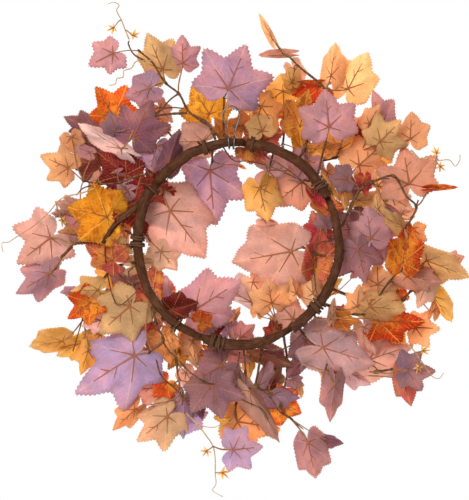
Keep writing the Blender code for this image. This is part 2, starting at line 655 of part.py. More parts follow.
def add_spray(name, stem, leaves, half, look):
    """A square stem lofted along its route, with a stalk and a blade grown from it for each leaf."""
    bm = bmesh.new()
    route = [Vector(p) for p in stem]
    side = first_side((route[1] - route[0]).normalized())
    ring = None
    for index, (centre, along) in enumerate(zip(route, headings(route))):
        side = side_across(along, side)
        here = [leaf for leaf in leaves if leaf[0] == index]
        last = index == len(route) - 1
        knuckle = half + PETIOLE_HALF if here else 0.0
        for offset in ((-knuckle / 2, knuckle / 2) if here else (0.0,)):
            fresh = corner_ring(bm, centre + along * offset, along, side, half)
            if ring is None:
                bm.faces.new(fresh)
            elif not here or offset < 0:
                join_rings(bm, ring, fresh)
            if offset <= 0:
                ring = fresh
        if here:
            grow_fork(bm, ring, fresh, along, here, last)
            ring = fresh
    if not any(leaf[0] == len(route) - 1 for leaf in leaves):
        bm.faces.new(ring)
    for v in bm.verts:
        v.co = place(*v.co)
    bmesh.ops.recalc_face_normals(bm, faces=bm.faces)
    add_mesh(name, bm, look, place(*stem[0]))


def grow_fork(bm, lower, upper, along, leaves, last):
    """A knuckle of the stem: the faces that no stalk grows from are closed."""
    centre = (middle_of(lower) + middle_of(upper)) / 2
    sides = []
    for i in range(4):
        j = (i + 1) % 4
        corners = [lower[i], lower[j], upper[j], upper[i]]
        sides.append((corners, (middle_of(corners) - centre).normalized()))
    if last:
        sides.append((upper, along))
    taken = share_out(sides, leaves)
    for (corners, leave), leaf in zip(taken, leaves):
        grow_leaf(bm, corners, leave, leaf)
    for corners, leave in sides:
        if not any(corners is used for used, _ in taken):
            bm.faces.new(corners)


def add_sprays():
    for name, (colour, stem, leaves) in SPRAYS.items():
        add_spray(name, stem, leaves, TWIG_HALF, leaf_fabric(colour))


def add_tendrils():
    for name, (stem, leaves) in TENDRILS.items():
        add_spray(name, stem, leaves, TENDRIL_RADIUS, tendril_plastic())


def clear_scene():
    for old in list(bpy.data.objects):
        bpy.data.objects.remove(old, do_unlink=True)


clear_scene()
add_ring()
add_ties()
add_hanger()
add_sprays()
add_tendrils()
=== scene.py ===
"""Harvest door wreath: leaves, twigs, bindings and hanging loop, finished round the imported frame."""

import json
import math
import random

import bmesh
import bpy
import numpy as np
from mathutils import Matrix, Vector, noise

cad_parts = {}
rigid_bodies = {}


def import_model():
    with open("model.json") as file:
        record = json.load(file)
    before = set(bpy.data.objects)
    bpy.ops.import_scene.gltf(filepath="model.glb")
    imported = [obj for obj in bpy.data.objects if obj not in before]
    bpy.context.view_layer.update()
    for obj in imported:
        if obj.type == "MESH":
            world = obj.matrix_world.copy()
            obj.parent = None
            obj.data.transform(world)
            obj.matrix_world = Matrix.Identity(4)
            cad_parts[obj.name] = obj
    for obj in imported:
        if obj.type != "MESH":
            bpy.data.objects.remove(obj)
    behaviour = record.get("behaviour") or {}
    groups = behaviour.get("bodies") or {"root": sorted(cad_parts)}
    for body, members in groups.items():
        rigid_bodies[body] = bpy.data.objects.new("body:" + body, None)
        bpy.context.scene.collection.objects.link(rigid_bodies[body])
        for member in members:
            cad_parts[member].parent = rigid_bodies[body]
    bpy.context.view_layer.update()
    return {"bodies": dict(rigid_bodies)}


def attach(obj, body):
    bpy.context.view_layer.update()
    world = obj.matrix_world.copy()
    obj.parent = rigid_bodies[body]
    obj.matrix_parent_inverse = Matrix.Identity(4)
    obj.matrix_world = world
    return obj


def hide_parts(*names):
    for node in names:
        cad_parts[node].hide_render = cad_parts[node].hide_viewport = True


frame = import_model()

MM = 0.001

# The wreath's own sizes, in millimetres, the same as the frame's.
RING_RADIUS = 131.0
RING_DEEP = 9.0
STEM_RADIUS = 7.2
UNDER_DEEP = 23.0
TIE_WIRE = 1.3
TIE_PITCH = 3.9
HANGER_WIRE = 1.0
HANGER_MIDDLE = -8.0
HANGER_HEIGHT = 46.0
HANGER_SIDE = [(6.0, 18.0), (11.0, 34.0), (7.5, 43.8)]
HOOK_STEPS = 24          # steps of the loop's wire round the ring
TIE_TWIST = 0.3          # radians that the bindings' strands turn at each point
LONGEST_STEM = 0.5       # metres
NODE_REACH = 0.0028      # metres from a ring stem's node to where its swelling fades
BLUNT_END = 0.0004       # metres that a ring stem's rounded end stands out
GAP = 0.5
HOOK_ACROSS = HANGER_MIDDLE
HOOK_UP = RING_RADIUS + HANGER_HEIGHT
HOOK_DEEP = RING_DEEP
CREST_DEEP = 112.0
RIM_DEEP = 40.0
DOME_WIDTH = 125.0

FULL_WIDTH = 1.34        # a flat leaf's width, as a share of its length
LEAF_THICKNESS = 0.5
RIB_LIFT = 0.35          # the ribs' centre lines over the middle of the blade
LOBE_ANGLE = 54.0        # degrees between two lobes
SMALL_LEAF = 36.0        # leaves shorter than this are cut from the small blank
MIDDLE_LEAF = 55.0       # leaves at least this long have the thickest stalks
LARGE_LEAF = 74.0        # leaves at least this long are cut from the large blank
MOST_TILT = 13.0         # degrees that a leaf may stand off the wreath's dome
TYPICAL_LENGTH = 0.072   # metres: the leaf length at which the ribs come out round
WAVE = 6.28              # radians in a whole wave of a leaf's edge
STEM_STEPS = 6           # steps of a spray's stem between two points of its route
TENDRIL_STEPS = 8
SPRAY_STEM = 1.9         # a spray stem's radius where it leaves the ring
TWIG_GRAIN = 420.0       # waves of roughness to a metre, on twigs and on the ring
BARK_GRAIN = 210.0
STALK_END = 0.0022       # metres that a stalk's moulded end reaches each way over the leaf
SHORTEST_STALK = 0.002


UNDER, TOP = "UNDER", "TOP"
UNDERSIDE, TOPSIDE, RIBS, STALK, BARK, VINE = range(6)

# Half a flat leaf's edge: degrees from the tip, and reach from the stalk as a share of the tip's.
OUTLINE = [(0, 1.0), (3, 0.955), (8, 0.885), (14, 0.83), (20, 0.77), (26, 0.715), (31, 0.69), (36, 0.72),
           (43, 0.785), (50, 0.85), (54, 0.87), (58, 0.84), (64, 0.765), (71, 0.70), (78, 0.655), (84, 0.64),
           (91, 0.665), (99, 0.695), (105, 0.71), (110, 0.68), (117, 0.615), (124, 0.56), (130, 0.54),
           (137, 0.53), (144, 0.485), (150, 0.425), (156, 0.35), (163, 0.265), (170, 0.185), (176, 0.13),
           (180, 0.10)]
STAR_OUTLINE = [(0, 1.0), (10, 0.62), (26, 0.30), (40, 0.62), (52, 0.90), (62, 0.55), (78, 0.28), (92, 0.50),
                (104, 0.72), (116, 0.42), (135, 0.24), (160, 0.16), (180, 0.10)]
# The moulded ribs: where each starts, its angle, length, thick end and thin end, as shares of the leaf.
RIB_FRAME = [
    ((-0.03, 0.0), 0.0, 0.70, 0.0185, 0.0075),
    ((0.0, 0.0), math.radians(LOBE_ANGLE + 3), 0.44, 0.0155, 0.006),
    ((0.0, 0.0), -math.radians(LOBE_ANGLE - 2), 0.42, 0.0155, 0.006),
    ((0.0, 0.0), math.radians(2 * LOBE_ANGLE - 2), 0.31, 0.014, 0.006),
    ((0.0, 0.0), -math.radians(2 * LOBE_ANGLE + 4), 0.29, 0.014, 0.006),
    ((0.30, 0.0), math.radians(48), 0.20, 0.0105, 0.005),
    ((0.43, 0.0), -math.radians(46), 0.17, 0.010, 0.005),
]
# Each blank: steps round it, rings of points, outline, depth of the teeth, ribs, and how stout they are.
BLANK_SIZES = {
    "large": (84, (0.2, 0.42, 0.64, 0.84, 1.0), OUTLINE, 0.027, RIB_FRAME, 1.1),
    "medium": (60, (0.28, 0.55, 0.8, 1.0), OUTLINE, 0.036, RIB_FRAME, 1.35),
    "small": (40, (0.4, 0.8, 1.0), OUTLINE, 0.052, RIB_FRAME[:5], 1.8),
    "leaflet": (36, (0.5, 1.0), STAR_OUTLINE, 0.03, RIB_FRAME[:3], 2.2),
}

# The studio, in metres.
FLOOR_HEIGHT = -0.62
FLOOR_RADIUS = 0.62
AMBIENT = 0.62           # strength of the even white light from all round
CAMERA_AWAY = 4.0
PICTURE_HEIGHT = 0.650
PICTURE_MIDDLE = (-3.9, -9.1)    # the plan point, in millimetres, in the middle of the picture

# The ring's stems, each from its blunt thick end: clock angle, off the ring's radius, lies under, thickness.
RING_STEMS = {
    "ring_stem_left": [
        (301, 2, 0, 1.0), (292, 1, 0, 1.0), (270, -1, 0, 0.95), (245, 0, 0, 0.92), (222, 1, 0, 0.88),
        (208, 0, 0, 0.82), (200, 0, 1, 0.72), (184, 0, 1, 0.6),
    ],
    "ring_stem_bottom": [
        (199, 1, 0, 0.9), (190, 1, 0, 1.0), (175, 2, 0, 1.0), (163, 1, 0, 0.9), (155, 0, 0, 0.8),
        (147, 0, 1, 0.72), (134, 0, 1, 0.62),
    ],
    "ring_stem_right": [
        (147.5, 1, 0, 1.0), (138, 0, 0, 0.97), (120, 1, 0, 0.95), (98, 2, 0, 0.9), (78, 0, 0, 0.85),
        (70, 0, 0, 0.8), (62, 0, 1, 0.72), (50, 0, 1, 0.6),
    ],
    "ring_stem_upper_right": [
        (62.5, 0, 0, 0.95), (54, 0, 0, 1.0), (38, 1, 0, 0.95), (20, 0, 0, 0.95), (5.4, -1, 0, 1.0),
    ],
    "ring_stem_top": [
        (17, -1, 1, 0.6), (11, 0, 1, 0.72), (5, 0, 1, 0.8), (-1.5, 0, 0, 0.85), (-10, 0, 0, 0.9),
        (-30, 1, 0, 0.95), (-47, 0, 0, 0.95), (-54, 0, 1, 0.9), (-62, 2, 1, 0.85), (-70, 8, 1, 0.8),
        (-80, 28, 1, 0.7), (-90, 44, 0, 0.55),
    ],
}

# The binding wires: (clock angle, turns, off the ring's radius, stem thickness, over a doubled stem).
TIES = {
    "tie_bottom": (192, 5.5, 1, 1.02, True),
    "tie_lower_left": (217, 1.5, 1, 0.9, False),
    "tie_left": (271, 4.5, -1, 0.96, False),
    "tie_upper_left": (-58, 1.5, 1, 1.0, True),
    "tie_top_left": (-19, 2.5, 0.5, 1.0, False),
    "tie_top": (9, 1.5, -0.7, 1.0, True),
    "tie_upper_right": (55, 3.5, 0, 1.0, True),
    "tie_lower_right": (129, 3.5, 0.5, 0.97, False),
}

# Each spray: its stem's route (across, up, deep), then its leaves: the route point that the stalk leaves
# from, stalk end, tip, width, depth, the face shown to the door, and colour. The leaves' places and
# widths, and many of their colours, were set by fitting programs, not chosen by hand.
SPRAYS = {
    "top_spray": ([(-29, 135, 18), (-32, 144, 22), (-42, 159, 24), (-62, 170, 25), (-77, 195, 26),
        (-94, 209, 25), (-109, 233, 22), (-127, 250, 18)], [
        (7, (-162, 247), (-194, 231), 54, 14, UNDER, "pink_mauve"),
        (5, (-98, 227), (-119, 277), 53, 34, UNDER, "beige"),
        (4, (-72, 236), (-73, 273), 48, 44, UNDER, "pink_mauve"),
        (5, (-114, 202), (-153, 189), 45, 15, UNDER, "mauve"),
        (1, (-45, 133), (-96, 132), 49, 30, UNDER, "pink_tan"),
    ]),
    "upper_left_spray": ([(-66, 170, 27), (-94, 168, 26), (-114, 164, 25), (-132, 153, 24)], [
        (3, (-161, 147), (-166, 173), 55, 30, UNDER, "slate_mauve"),
        (3, (-152, 123), (-214, 160), 26, 18, UNDER, "pale_pink"),
        (2, (-102, 178), (-85, 158), 28, 50, UNDER, "rose_peach"),
    ]),
    "upper_left_front_spray": ([(-66, 117, 18), (-66, 121, 58), (-80, 134, 64), (-101, 157, 66)], [
        (2, (-37, 170), (-62, 209), 67, 58, TOP, "mottled_yellow"),
        (3, (-162, 167), (-192, 206), 61, 59, TOP, "mottled_orange"),
        (3, (-103, 149), (-107, 179), 32, 66, UNDER, "orange"),
        (1, (-107, 126), (-116, 86), 52, 36, UNDER, "mauve"),
    ]),
    "top_leaf_spray": ([(-15, 138, 18), (-18, 144, 40), (-18, 162, 34), (-18, 188, 20)], [
        (3, (-12, 201), (13, 262), 102, 14, UNDER, "mauve"),
        (1, (2, 155), (-20, 155), 17, 44, UNDER, "orange_brown"),
        (3, (31, 179), (54, 144), 47, 34, UNDER, "orange_tan"),
    ]),
    "top_middle_spray": ([(25, 129, 30), (27, 136, 44)], [
        (1, (32, 147), (24, 176), 46, 36, UNDER, "tan"),
        (1, (7, 149), (4, 182), 27, 52, UNDER, "orange_brown"),
        (1, (32, 133), (64, 149), 42, 56, TOP, "rose_red"),
        (1, (32, 136), (3, 160), 34, 59, UNDER, "rose_red"),
        (0, (12, 123), (42, 104), 26, 30, TOP, "rose_red"),
    ]),
    "left_upper_spray": ([(-110, 86, 18), (-114, 90, 22), (-133, 87, 22), (-153, 79, 22), (-179, 77, 20),
        (-200, 81, 20)], [
        (5, (-221, 98), (-255, 113), 71, 28, UNDER, "orange_peach"),
        (5, (-192, 118), (-213, 126), 21, 14, UNDER, "rose_mauve"),
        (3, (-143, 69), (-173, 73), 31, 34, UNDER, "pink_mauve"),
        (3, (-159, 92), (-189, 87), 26, 40, UNDER, "rose"),
        (4, (-183, 84), (-196, 62), 13, 30, UNDER, "rose_peach"),
        (5, (-211, 46), (-242, 55), 25, 32, UNDER, "pink_tan"),
        (5, (-218, 139), (-211, 115), 42, 42, UNDER, "orange_peach"),
    ]),
    "left_crimson_spray": ([(-80, 108, 18), (-81, 112, 52), (-114, 104, 54), (-136, 92, 54)], [
        (3, (-146, 90), (-185, 121), 59, 46, TOP, "burgundy"),
        (3, (-148, 87), (-175, 65), 39, 61, TOP, "dark_red"),
        (2, (-187, 147), (-229, 167), 35, 50, UNDER, "plum"),
        (2, (-135, 140), (-111, 188), 65, 22, UNDER, "plum"),
        (3, (-136, 53), (-82, 21), 75, 46, TOP, "dark_red"),
        (3, (-183, 105), (-214, 143), 54, 58, UNDER, "wine"),
        (1, (-90, 105), (-74, 154), 41, 22, UNDER, "plum"),
    ]),
    "left_orange_spray": ([(-137, 9, 18), (-142, 14, 46), (-163, 22, 50)], [
        (1, (-148, -4), (-166, -16), 29, 30, UNDER, "beige"),
        (2, (-155, 27), (-142, -11), 29, 59, UNDER, "orange"),
        (2, (-206, 33), (-237, 41), 43, 46, UNDER, "rose_mauve"),
    ]),
    "left_large_spray": ([(-136, -1, 18), (-142, -3, 26), (-179, -1, 22), (-211, -1, 12), (-228, -17, 8)], [
        (4, (-244, -39), (-291, -68), 50, 12, UNDER, "pink_mauve"),
        (3, (-244, 7), (-289, -28), 84, 20, UNDER, "pink_peach"),
        (2, (-199, 8), (-233, 4), 15, 30, UNDER, "mauve"),
        (2, (-170, 34), (-228, 47), 76, 24, TOP, "mottled_yellow"),
        (3, (-231, 38), (-244, 39), 13, 30, UNDER, "pink_tan"),
        (2, (-197, 6), (-230, 4), 15, 40, UNDER, "plum"),
        (3, (-210, 11), (-237, 15), 25, 32, UNDER, "orange_coral"),
        (1, (-150, 23), (-161, 49), 29, 46, UNDER, "orange"),
        (4, (-245, -41), (-284, -40), 24, 30, UNDER, "orange_coral"),
    ]),
    "left_low_spray": ([(-136, -25, 18), (-142, -27, 34), (-163, -32, 40), (-181, -56, 44), (-200, -98, 40)],
        [
        (3, (-182, -61), (-221, -63), 35, 24, UNDER, "amber_tan"),
        (3, (-192, -78), (-224, -102), 44, 34, TOP, "orange_red"),
        (4, (-229, -128), (-279, -137), 35, 28, UNDER, "amber"),
        (4, (-195, -140), (-207, -176), 30, 30, UNDER, "amber"),
        (4, (-179, -120), (-205, -117), 27, 46, UNDER, "amber"),
        (3, (-214, -63), (-234, -65), 13, 34, UNDER, "mauve"),
        (4, (-202, -129), (-238, -149), 31, 46, UNDER, "yellow_orange"),
        (2, (-162, -23), (-200, -3), 46, 22, TOP, "rose_red"),
        (4, (-179, -101), (-205, -109), 26, 34, UNDER, "pale_pink"),
        (1, (-136, -30), (-101, -23), 31, 22, UNDER, "beige_peach"),
    ]),
    "lower_left_beige_spray": ([(-125, -51, 18), (-133, -53, 28), (-137, -66, 26)], [
        (2, (-140, -82), (-180, -117), 83, 20, UNDER, "beige"),
        (1, (-168, -38), (-158, -69), 34, 59, UNDER, "amber"),
        (2, (-163, -74), (-187, -64), 23, 44, UNDER, "peach"),
        (2, (-144, -54), (-152, -24), 33, 40, UNDER, "dusky_rose"),
    ]),
    "lower_left_lilac_spray": ([(-111, -61, 18), (-111, -74, 24), (-106, -105, 24), (-97, -127, 20),
        (-114, -142, 16)], [
        (4, (-134, -146), (-204, -191), 97, 12, UNDER, "lilac"),
        (2, (-112, -84), (-85, -101), 16, 30, UNDER, "beige"),
        (3, (-99, -125), (-85, -163), 38, 46, TOP, "orange"),
        (3, (-117, -141), (-96, -173), 21, 36, UNDER, "orange_brown"),
        (2, (-112, -105), (-123, -129), 29, 50, UNDER, "rose_red"),
        (2, (-90, -98), (-75, -114), 18, 48, UNDER, "rose"),
        (2, (-114, -77), (-151, -34), 73, 61, TOP, "rose_red"),
    ]),
    "bottom_left_spray": ([(-77, -96, 18), (-85, -113, 36), (-80, -155, 32), (-77, -178, 28),
        (-72, -196, 26)], [
        (4, (-91, -226), (-134, -260), 59, 14, UNDER, "beige_peach"),
        (4, (-69, -204), (-71, -260), 38, 32, UNDER, "lilac"),
        (4, (-93, -183), (-112, -203), 37, 40, TOP, "orange_red"),
        (3, (-34, -185), (-20, -233), 77, 20, UNDER, "brown_mauve"),
        (4, (-134, -217), (-164, -246), 32, 30, UNDER, "orange_coral"),
        (4, (-90, -207), (-119, -220), 26, 36, UNDER, "rose_peach"),
        (4, (-51, -202), (-46, -233), 18, 38, UNDER, "plum"),
        (2, (-68, -170), (-51, -194), 27, 46, UNDER, "peach_pink"),
        (3, (-105, -190), (-141, -195), 38, 61, UNDER, "pink_peach"),
        (4, (-67, -232), (-36, -219), 33, 50, UNDER, "lilac"),
        (1, (-86, -88), (-47, -78), 39, 34, TOP, "burgundy"),
        (1, (-76, -141), (-95, -171), 29, 58, TOP, "orange_brown"),
    ]),
    "bottom_middle_spray": ([(-44, -124, 30), (-45, -127, 44)], [
        (1, (-59, -129), (-50, -172), 29, 34, UNDER, "tan_rose"),
        (1, (-62, -117), (-81, -142), 26, 54, TOP, "orange"),
        (1, (-41, -142), (-20, -157), 18, 56, TOP, "orange_red"),
        (1, (-36, -122), (-14, -107), 25, 58, TOP, "burgundy"),
    ]),
    "bottom_rose_spray": ([(8, -134, 18), (7, -133, 41), (-1, -129, 44)], [
        (2, (-16, -142), (21, -157), 26, 42, UNDER, "rose"),
        (2, (4, -123), (25, -106), 31, 48, UNDER, "rose"),
        (2, (-12, -119), (-12, -89), 22, 54, UNDER, "mauve"),
        (2, (-5, -99), (5, -82), 12, 44, UNDER, "orange"),
        (2, (-20, -159), (-67, -188), 69, 34, UNDER, "brown_mauve"),
    ]),
    "bottom_fan_spray": ([(32, -127, 18), (32, -136, 30), (27, -168, 30), (25, -186, 30), (40, -195, 30)], [
        (3, (16, -194), (61, -262), 35, 24, UNDER, "pink_tan"),
        (3, (28, -187), (44, -146), 26, 40, UNDER, "pink_mauve"),
        (4, (42, -188), (63, -148), 36, 48, UNDER, "wine"),
        (4, (72, -179), (89, -188), 21, 46, UNDER, "dusky_rose"),
        (4, (47, -199), (85, -203), 30, 40, UNDER, "mauve"),
        (1, (31, -141), (77, -164), 37, 44, UNDER, "wine"),
    ]),
    "bottom_right_spray": ([(60, -122, 31), (62, -129, 68), (66, -168, 70), (57, -214, 42), (70, -230, 30)], [
        (4, (92, -260), (104, -314), 48, 20, UNDER, "dusky_rose"),
        (3, (51, -213), (88, -230), 54, 56, TOP, "orange_red"),
        (4, (114, -257), (140, -262), 20, 34, UNDER, "plum"),
        (2, (81, -190), (84, -205), 9, 44, UNDER, "peach"),
    ]),
    "bottom_orange_spray": ([(19, -133, 18), (16, -142, 64), (8, -178, 64), (-2, -211, 52)], [
        (1, (16, -150), (16, -181), 21, 58, UNDER, "amber"),
        (3, (0, -234), (55, -243), 73, 40, UNDER, "orange"),
        (3, (-6, -230), (-26, -250), 34, 52, UNDER, "yellow_orange"),
    ]),
    "lower_right_pink_spray": ([(77, -107, 30), (86, -118, 26), (97, -129, 18)], [
        (2, (111, -136), (187, -161), 75, 14, UNDER, "pale_mauve"),
        (1, (89, -128), (82, -173), 43, 42, UNDER, "slate_mauve"),
        (1, (124, -97), (128, -66), 12, 26, UNDER, "pale_peach"),
    ]),
    "lower_right_mauve_spray": ([(94, -86, 18), (99, -92, 44), (120, -133, 40), (115, -165, 30)], [
        (3, (127, -185), (121, -242), 32, 22, UNDER, "dusky_rose"),
        (2, (166, -110), (182, -151), 33, 34, UNDER, "pink_tan"),
        (3, (123, -172), (124, -195), 36, 44, UNDER, "amber"),
        (1, (73, -100), (51, -72), 44, 50, UNDER, "pink_tan"),
        (3, (81, -157), (61, -180), 21, 42, UNDER, "plum"),
        (3, (144, -169), (176, -187), 33, 61, UNDER, "pale_mauve"),
    ]),
    "right_low_spray": ([(105, -70, 18), (110, -77, 34), (140, -91, 34), (167, -92, 34), (183, -72, 34),
        (198, -51, 32), (211, -35, 30)], [
        (1, (156, -83), (159, -54), 34, 24, UNDER, "orange_peach"),
        (4, (172, -83), (229, -88), 43, 20, UNDER, "tan"),
        (3, (185, -103), (242, -103), 60, 44, TOP, "mottled_red"),
        (6, (221, -43), (271, -52), 36, 18, UNDER, "rose_peach"),
        (6, (216, -25), (223, 27), 50, 21, TOP, "mottled_red"),
        (3, (138, -90), (129, -82), 18, 44, UNDER, "rose_red"),
        (1, (77, -66), (70, -42), 24, 40, UNDER, "orange_peach"),
        (1, (99, -66), (94, -15), 32, 44, UNDER, "beige_peach"),
        (3, (206, -122), (206, -147), 32, 56, UNDER, "amber"),
        (4, (184, -54), (182, -20), 55, 42, UNDER, "tan_rose"),
        (5, (209, -61), (215, -93), 35, 61, TOP, "mottled_red"),
        (2, (131, -100), (163, -103), 27, 42, TOP, "orange_brown"),
    ]),
    "right_tan_spray": ([(218, -74, 46), (228, -62, 44), (239, -53, 40)], [
        (2, (247, -23), (304, -45), 50, 26, UNDER, "tan"),
        (2, (248, -53), (234, -85), 33, 30, UNDER, "pale_peach"),
        (0, (200, -51), (208, -78), 38, 54, TOP, "amber"),
        (1, (257, -69), (283, -108), 25, 40, UNDER, "yellow_orange"),
        (2, (248, -30), (274, -38), 26, 44, UNDER, "amber_tan"),
        (2, (279, -26), (301, -17), 28, 61, UNDER, "rose_peach"),
        (1, (257, -90), (264, -62), 16, 40, UNDER, "orange"),
    ]),
    "right_peach_spray": ([(115, -55, 18), (120, -58, 62), (159, -74, 66), (209, -98, 62)], [
        (3, (234, -111), (268, -114), 54, 54, UNDER, "orange_peach"),
        (2, (117, -60), (140, -46), 27, 63, UNDER, "amber_tan"),
    ]),
    "lower_right_crimson_spray": ([(183, -168, 26), (201, -165, 26)], [
        (1, (220, -166), (257, -167), 49, 18, UNDER, "slate_mauve"),
        (1, (215, -169), (228, -217), 41, 37, UNDER, "crimson"),
        (0, (173, -153), (230, -134), 57, 42, UNDER, "peach_pink"),
    ]),
    "right_spray": ([(136, 22, 18), (146, 43, 22), (159, 69, 22), (174, 78, 20), (203, 87, 10), (220, 61, 5),
        (232, 48, 7), (226, 32, 10), (220, 23, 10)], [
        (4, (224, 77), (214, 131), 80, 19, UNDER, "rose_peach"),
        (3, (184, 75), (202, 92), 34, 44, UNDER, "peach"),
        (2, (158, 56), (205, 58), 27, 50, UNDER, "tan"),
        (8, (215, 20), (187, 51), 21, 15, UNDER, "tan"),
        (2, (142, 84), (115, 82), 37, 16, UNDER, "slate_mauve"),
        (6, (253, 71), (291, 72), 9, 16, TOP, "red_orange"),
        (3, (203, 60), (232, 41), 32, 44, UNDER, "pale_peach"),
        (2, (138, 70), (141, 41), 23, 26, UNDER, "orange_tan"),
        (3, (198, 46), (215, 34), 10, 40, UNDER, "rose_mauve"),
        (1, (119, 43), (88, 74), 36, 61, TOP, "crimson"),
        (7, (230, 19), (230, -10), 37, 61, UNDER, "orange_coral"),
        (1, (181, 21), (194, -25), 35, 42, UNDER, "brown_mauve"),
        (8, (184, 44), (180, 69), 20, 34, UNDER, "yellow_peach"),
        (7, (216, 38), (239, 46), 20, 50, UNDER, "pale_peach"),
    ]),
    "right_mauve_spray": ([(135, -12, 18), (144, -9, 34)], [
        (1, (156, -8), (170, -55), 61, 20, UNDER, "brown_mauve"),
        (1, (174, 6), (168, 52), 57, 28, UNDER, "pink_mauve"),
        (1, (196, 16), (214, 24), 24, 46, UNDER, "rose"),
        (1, (161, 8), (120, 43), 65, 42, UNDER, "plum"),
    ]),
    "right_upper_spray": ([(114, 65, 31), (123, 77, 42), (149, 92, 43)], [
        (2, (159, 102), (196, 135), 57, 35, UNDER, "orange_peach"),
        (1, (124, 65), (106, 95), 10, 30, UNDER, "amber"),
        (2, (167, 84), (170, 58), 21, 34, TOP, "crimson"),
        (2, (147, 69), (150, 95), 25, 58, UNDER, "plum"),
    ]),
    "right_tan_upper_spray": ([(89, 96, 18), (93, 103, 50), (128, 112, 48), (162, 121, 42)], [
        (3, (186, 132), (214, 161), 52, 18, UNDER, "tan"),
        (3, (172, 156), (187, 183), 31, 32, UNDER, "orange_peach"),
        (2, (170, 123), (219, 129), 45, 62, UNDER, "amber"),
        (3, (189, 153), (177, 200), 37, 48, UNDER, "dusky_rose"),
        (3, (226, 136), (227, 174), 50, 32, UNDER, "tan_rose"),
        (1, (102, 123), (140, 134), 26, 46, TOP, "orange"),
        (3, (162, 142), (159, 160), 13, 59, TOP, "orange_red"),
        (2, (135, 123), (146, 169), 48, 50, UNDER, "orange_tan"),
        (1, (118, 93), (126, 64), 23, 58, UNDER, "tan_rose"),
        (3, (176, 152), (142, 163), 31, 58, UNDER, "peach_pink"),
    ]),
    "upper_right_mauve_spray": ([(105, 91, 18), (107, 98, 26), (115, 131, 20)], [
        (2, (119, 151), (114, 204), 73, 14, UNDER, "pink_mauve"),
    ]),
    "upper_right_spray": ([(81, 113, 18), (86, 121, 28), (102, 160, 27), (115, 196, 25), (97, 217, 22),
        (79, 231, 20)], [
        (5, (45, 266), (26, 304), 11, 14, UNDER, "peach"),
        (5, (64, 246), (20, 244), 12, 22, UNDER, "rose_peach"),
        (3, (122, 218), (128, 266), 36, 20, UNDER, "peach"),
        (3, (145, 202), (172, 251), 55, 34, UNDER, "yellow_peach"),
        (3, (109, 206), (60, 200), 36, 52, TOP, "mottled_red"),
        (5, (71, 209), (65, 233), 26, 36, UNDER, "amber"),
        (1, (92, 108), (73, 78), 54, 36, UNDER, "rose_mauve"),
        (1, (82, 153), (93, 202), 55, 36, TOP, "orange_brown"),
        (5, (74, 229), (91, 201), 23, 42, UNDER, "pale_peach"),
    ]),
    "upper_right_front_spray": ([(60, 125, 18), (60, 130, 66), (63, 157, 70)], [
        (2, (60, 200), (30, 178), 40, 50, UNDER, "amber"),
        (2, (60, 165), (81, 178), 31, 65, TOP, "orange_brown"),
        (1, (83, 125), (78, 158), 28, 58, TOP, "mottled_yellow"),
    ]),
    "inner_left_spray": ([(-101, 94, 24), (-97, 84, 26), (-97, 64, 26)], [
        (2, (-88, 42), (-39, -21), 98, 26, UNDER, "pink_peach"),
        (2, (-104, 75), (-120, 98), 31, 22, TOP, "burgundy"),
    ]),
    "inner_top_spray": ([(-33, 131, 18), (-33, 121, 38), (-33, 108, 40)], [
        (2, (-36, 95), (-31, 26), 86, 48, UNDER, "mauve"),
        (2, (3, 101), (12, 96), 6, 44, UNDER, "orange"),
        (1, (-15, 140), (-33, 168), 25, 42, TOP, "orange_brown"),
    ]),
    "inner_right_spray": ([(93, 81, 18), (89, 82, 40), (84, 84, 46)], [
        (2, (84, 80), (47, 50), 60, 52, UNDER, "rose_peach"),
    ]),
    "inner_amber_spray": ([(50, 124, 18), (47, 117, 34), (42, 100, 36)], [
        (2, (29, 72), (40, 26), 54, 38, UNDER, "amber"),
        (2, (40, 96), (87, 96), 51, 58, UNDER, "pale_mauve"),
        (2, (34, 32), (59, 28), 19, 50, UNDER, "peach_pink"),
    ]),
    "inner_large_spray": ([(129, -17, 18), (118, -17, 26), (102, -14, 26), (86, -6, 26)], [
        (3, (70, -11), (-13, -26), 86, 26, UNDER, "peach_pink"),
        (1, (115, 22), (105, 40), 26, 32, UNDER, "slate_mauve"),
        (1, (110, 11), (98, 43), 36, 50, UNDER, "crimson"),
        (2, (103, -31), (109, 22), 43, 34, TOP, "rose_red"),
        (1, (152, -37), (170, -20), 25, 58, UNDER, "dusky_rose"),
    ]),
    "inner_low_spray": ([(54, -118, 18), (51, -103, 38)], [
        (1, (45, -79), (37, -42), 83, 44, UNDER, "orange_peach"),
        (1, (47, -119), (44, -99), 26, 48, TOP, "dark_red"),
        (1, (19, -78), (-28, -48), 39, 61, UNDER, "pale_pink"),
        (1, (20, -51), (39, -76), 32, 58, UNDER, "pale_peach"),
        (1, (26, -91), (30, -63), 23, 61, UNDER, "peach"),
    ]),
    "inner_mauve_spray": ([(-67, -95, 18), (-66, -92, 42)], [
        (1, (-55, -87), (6, -49), 81, 32, UNDER, "pink_mauve"),
        (1, (-87, -76), (-97, -34), 18, 44, UNDER, "pink_mauve"),
        (0, (-49, -103), (-31, -92), 29, 24, TOP, "red_orange"),
    ]),
    "inner_tan_spray": ([(-119, 13, 18), (-114, 4, 20)], [
        (1, (-100, -11), (-75, -40), 39, 22, UNDER, "pale_peach"),
    ]),
}

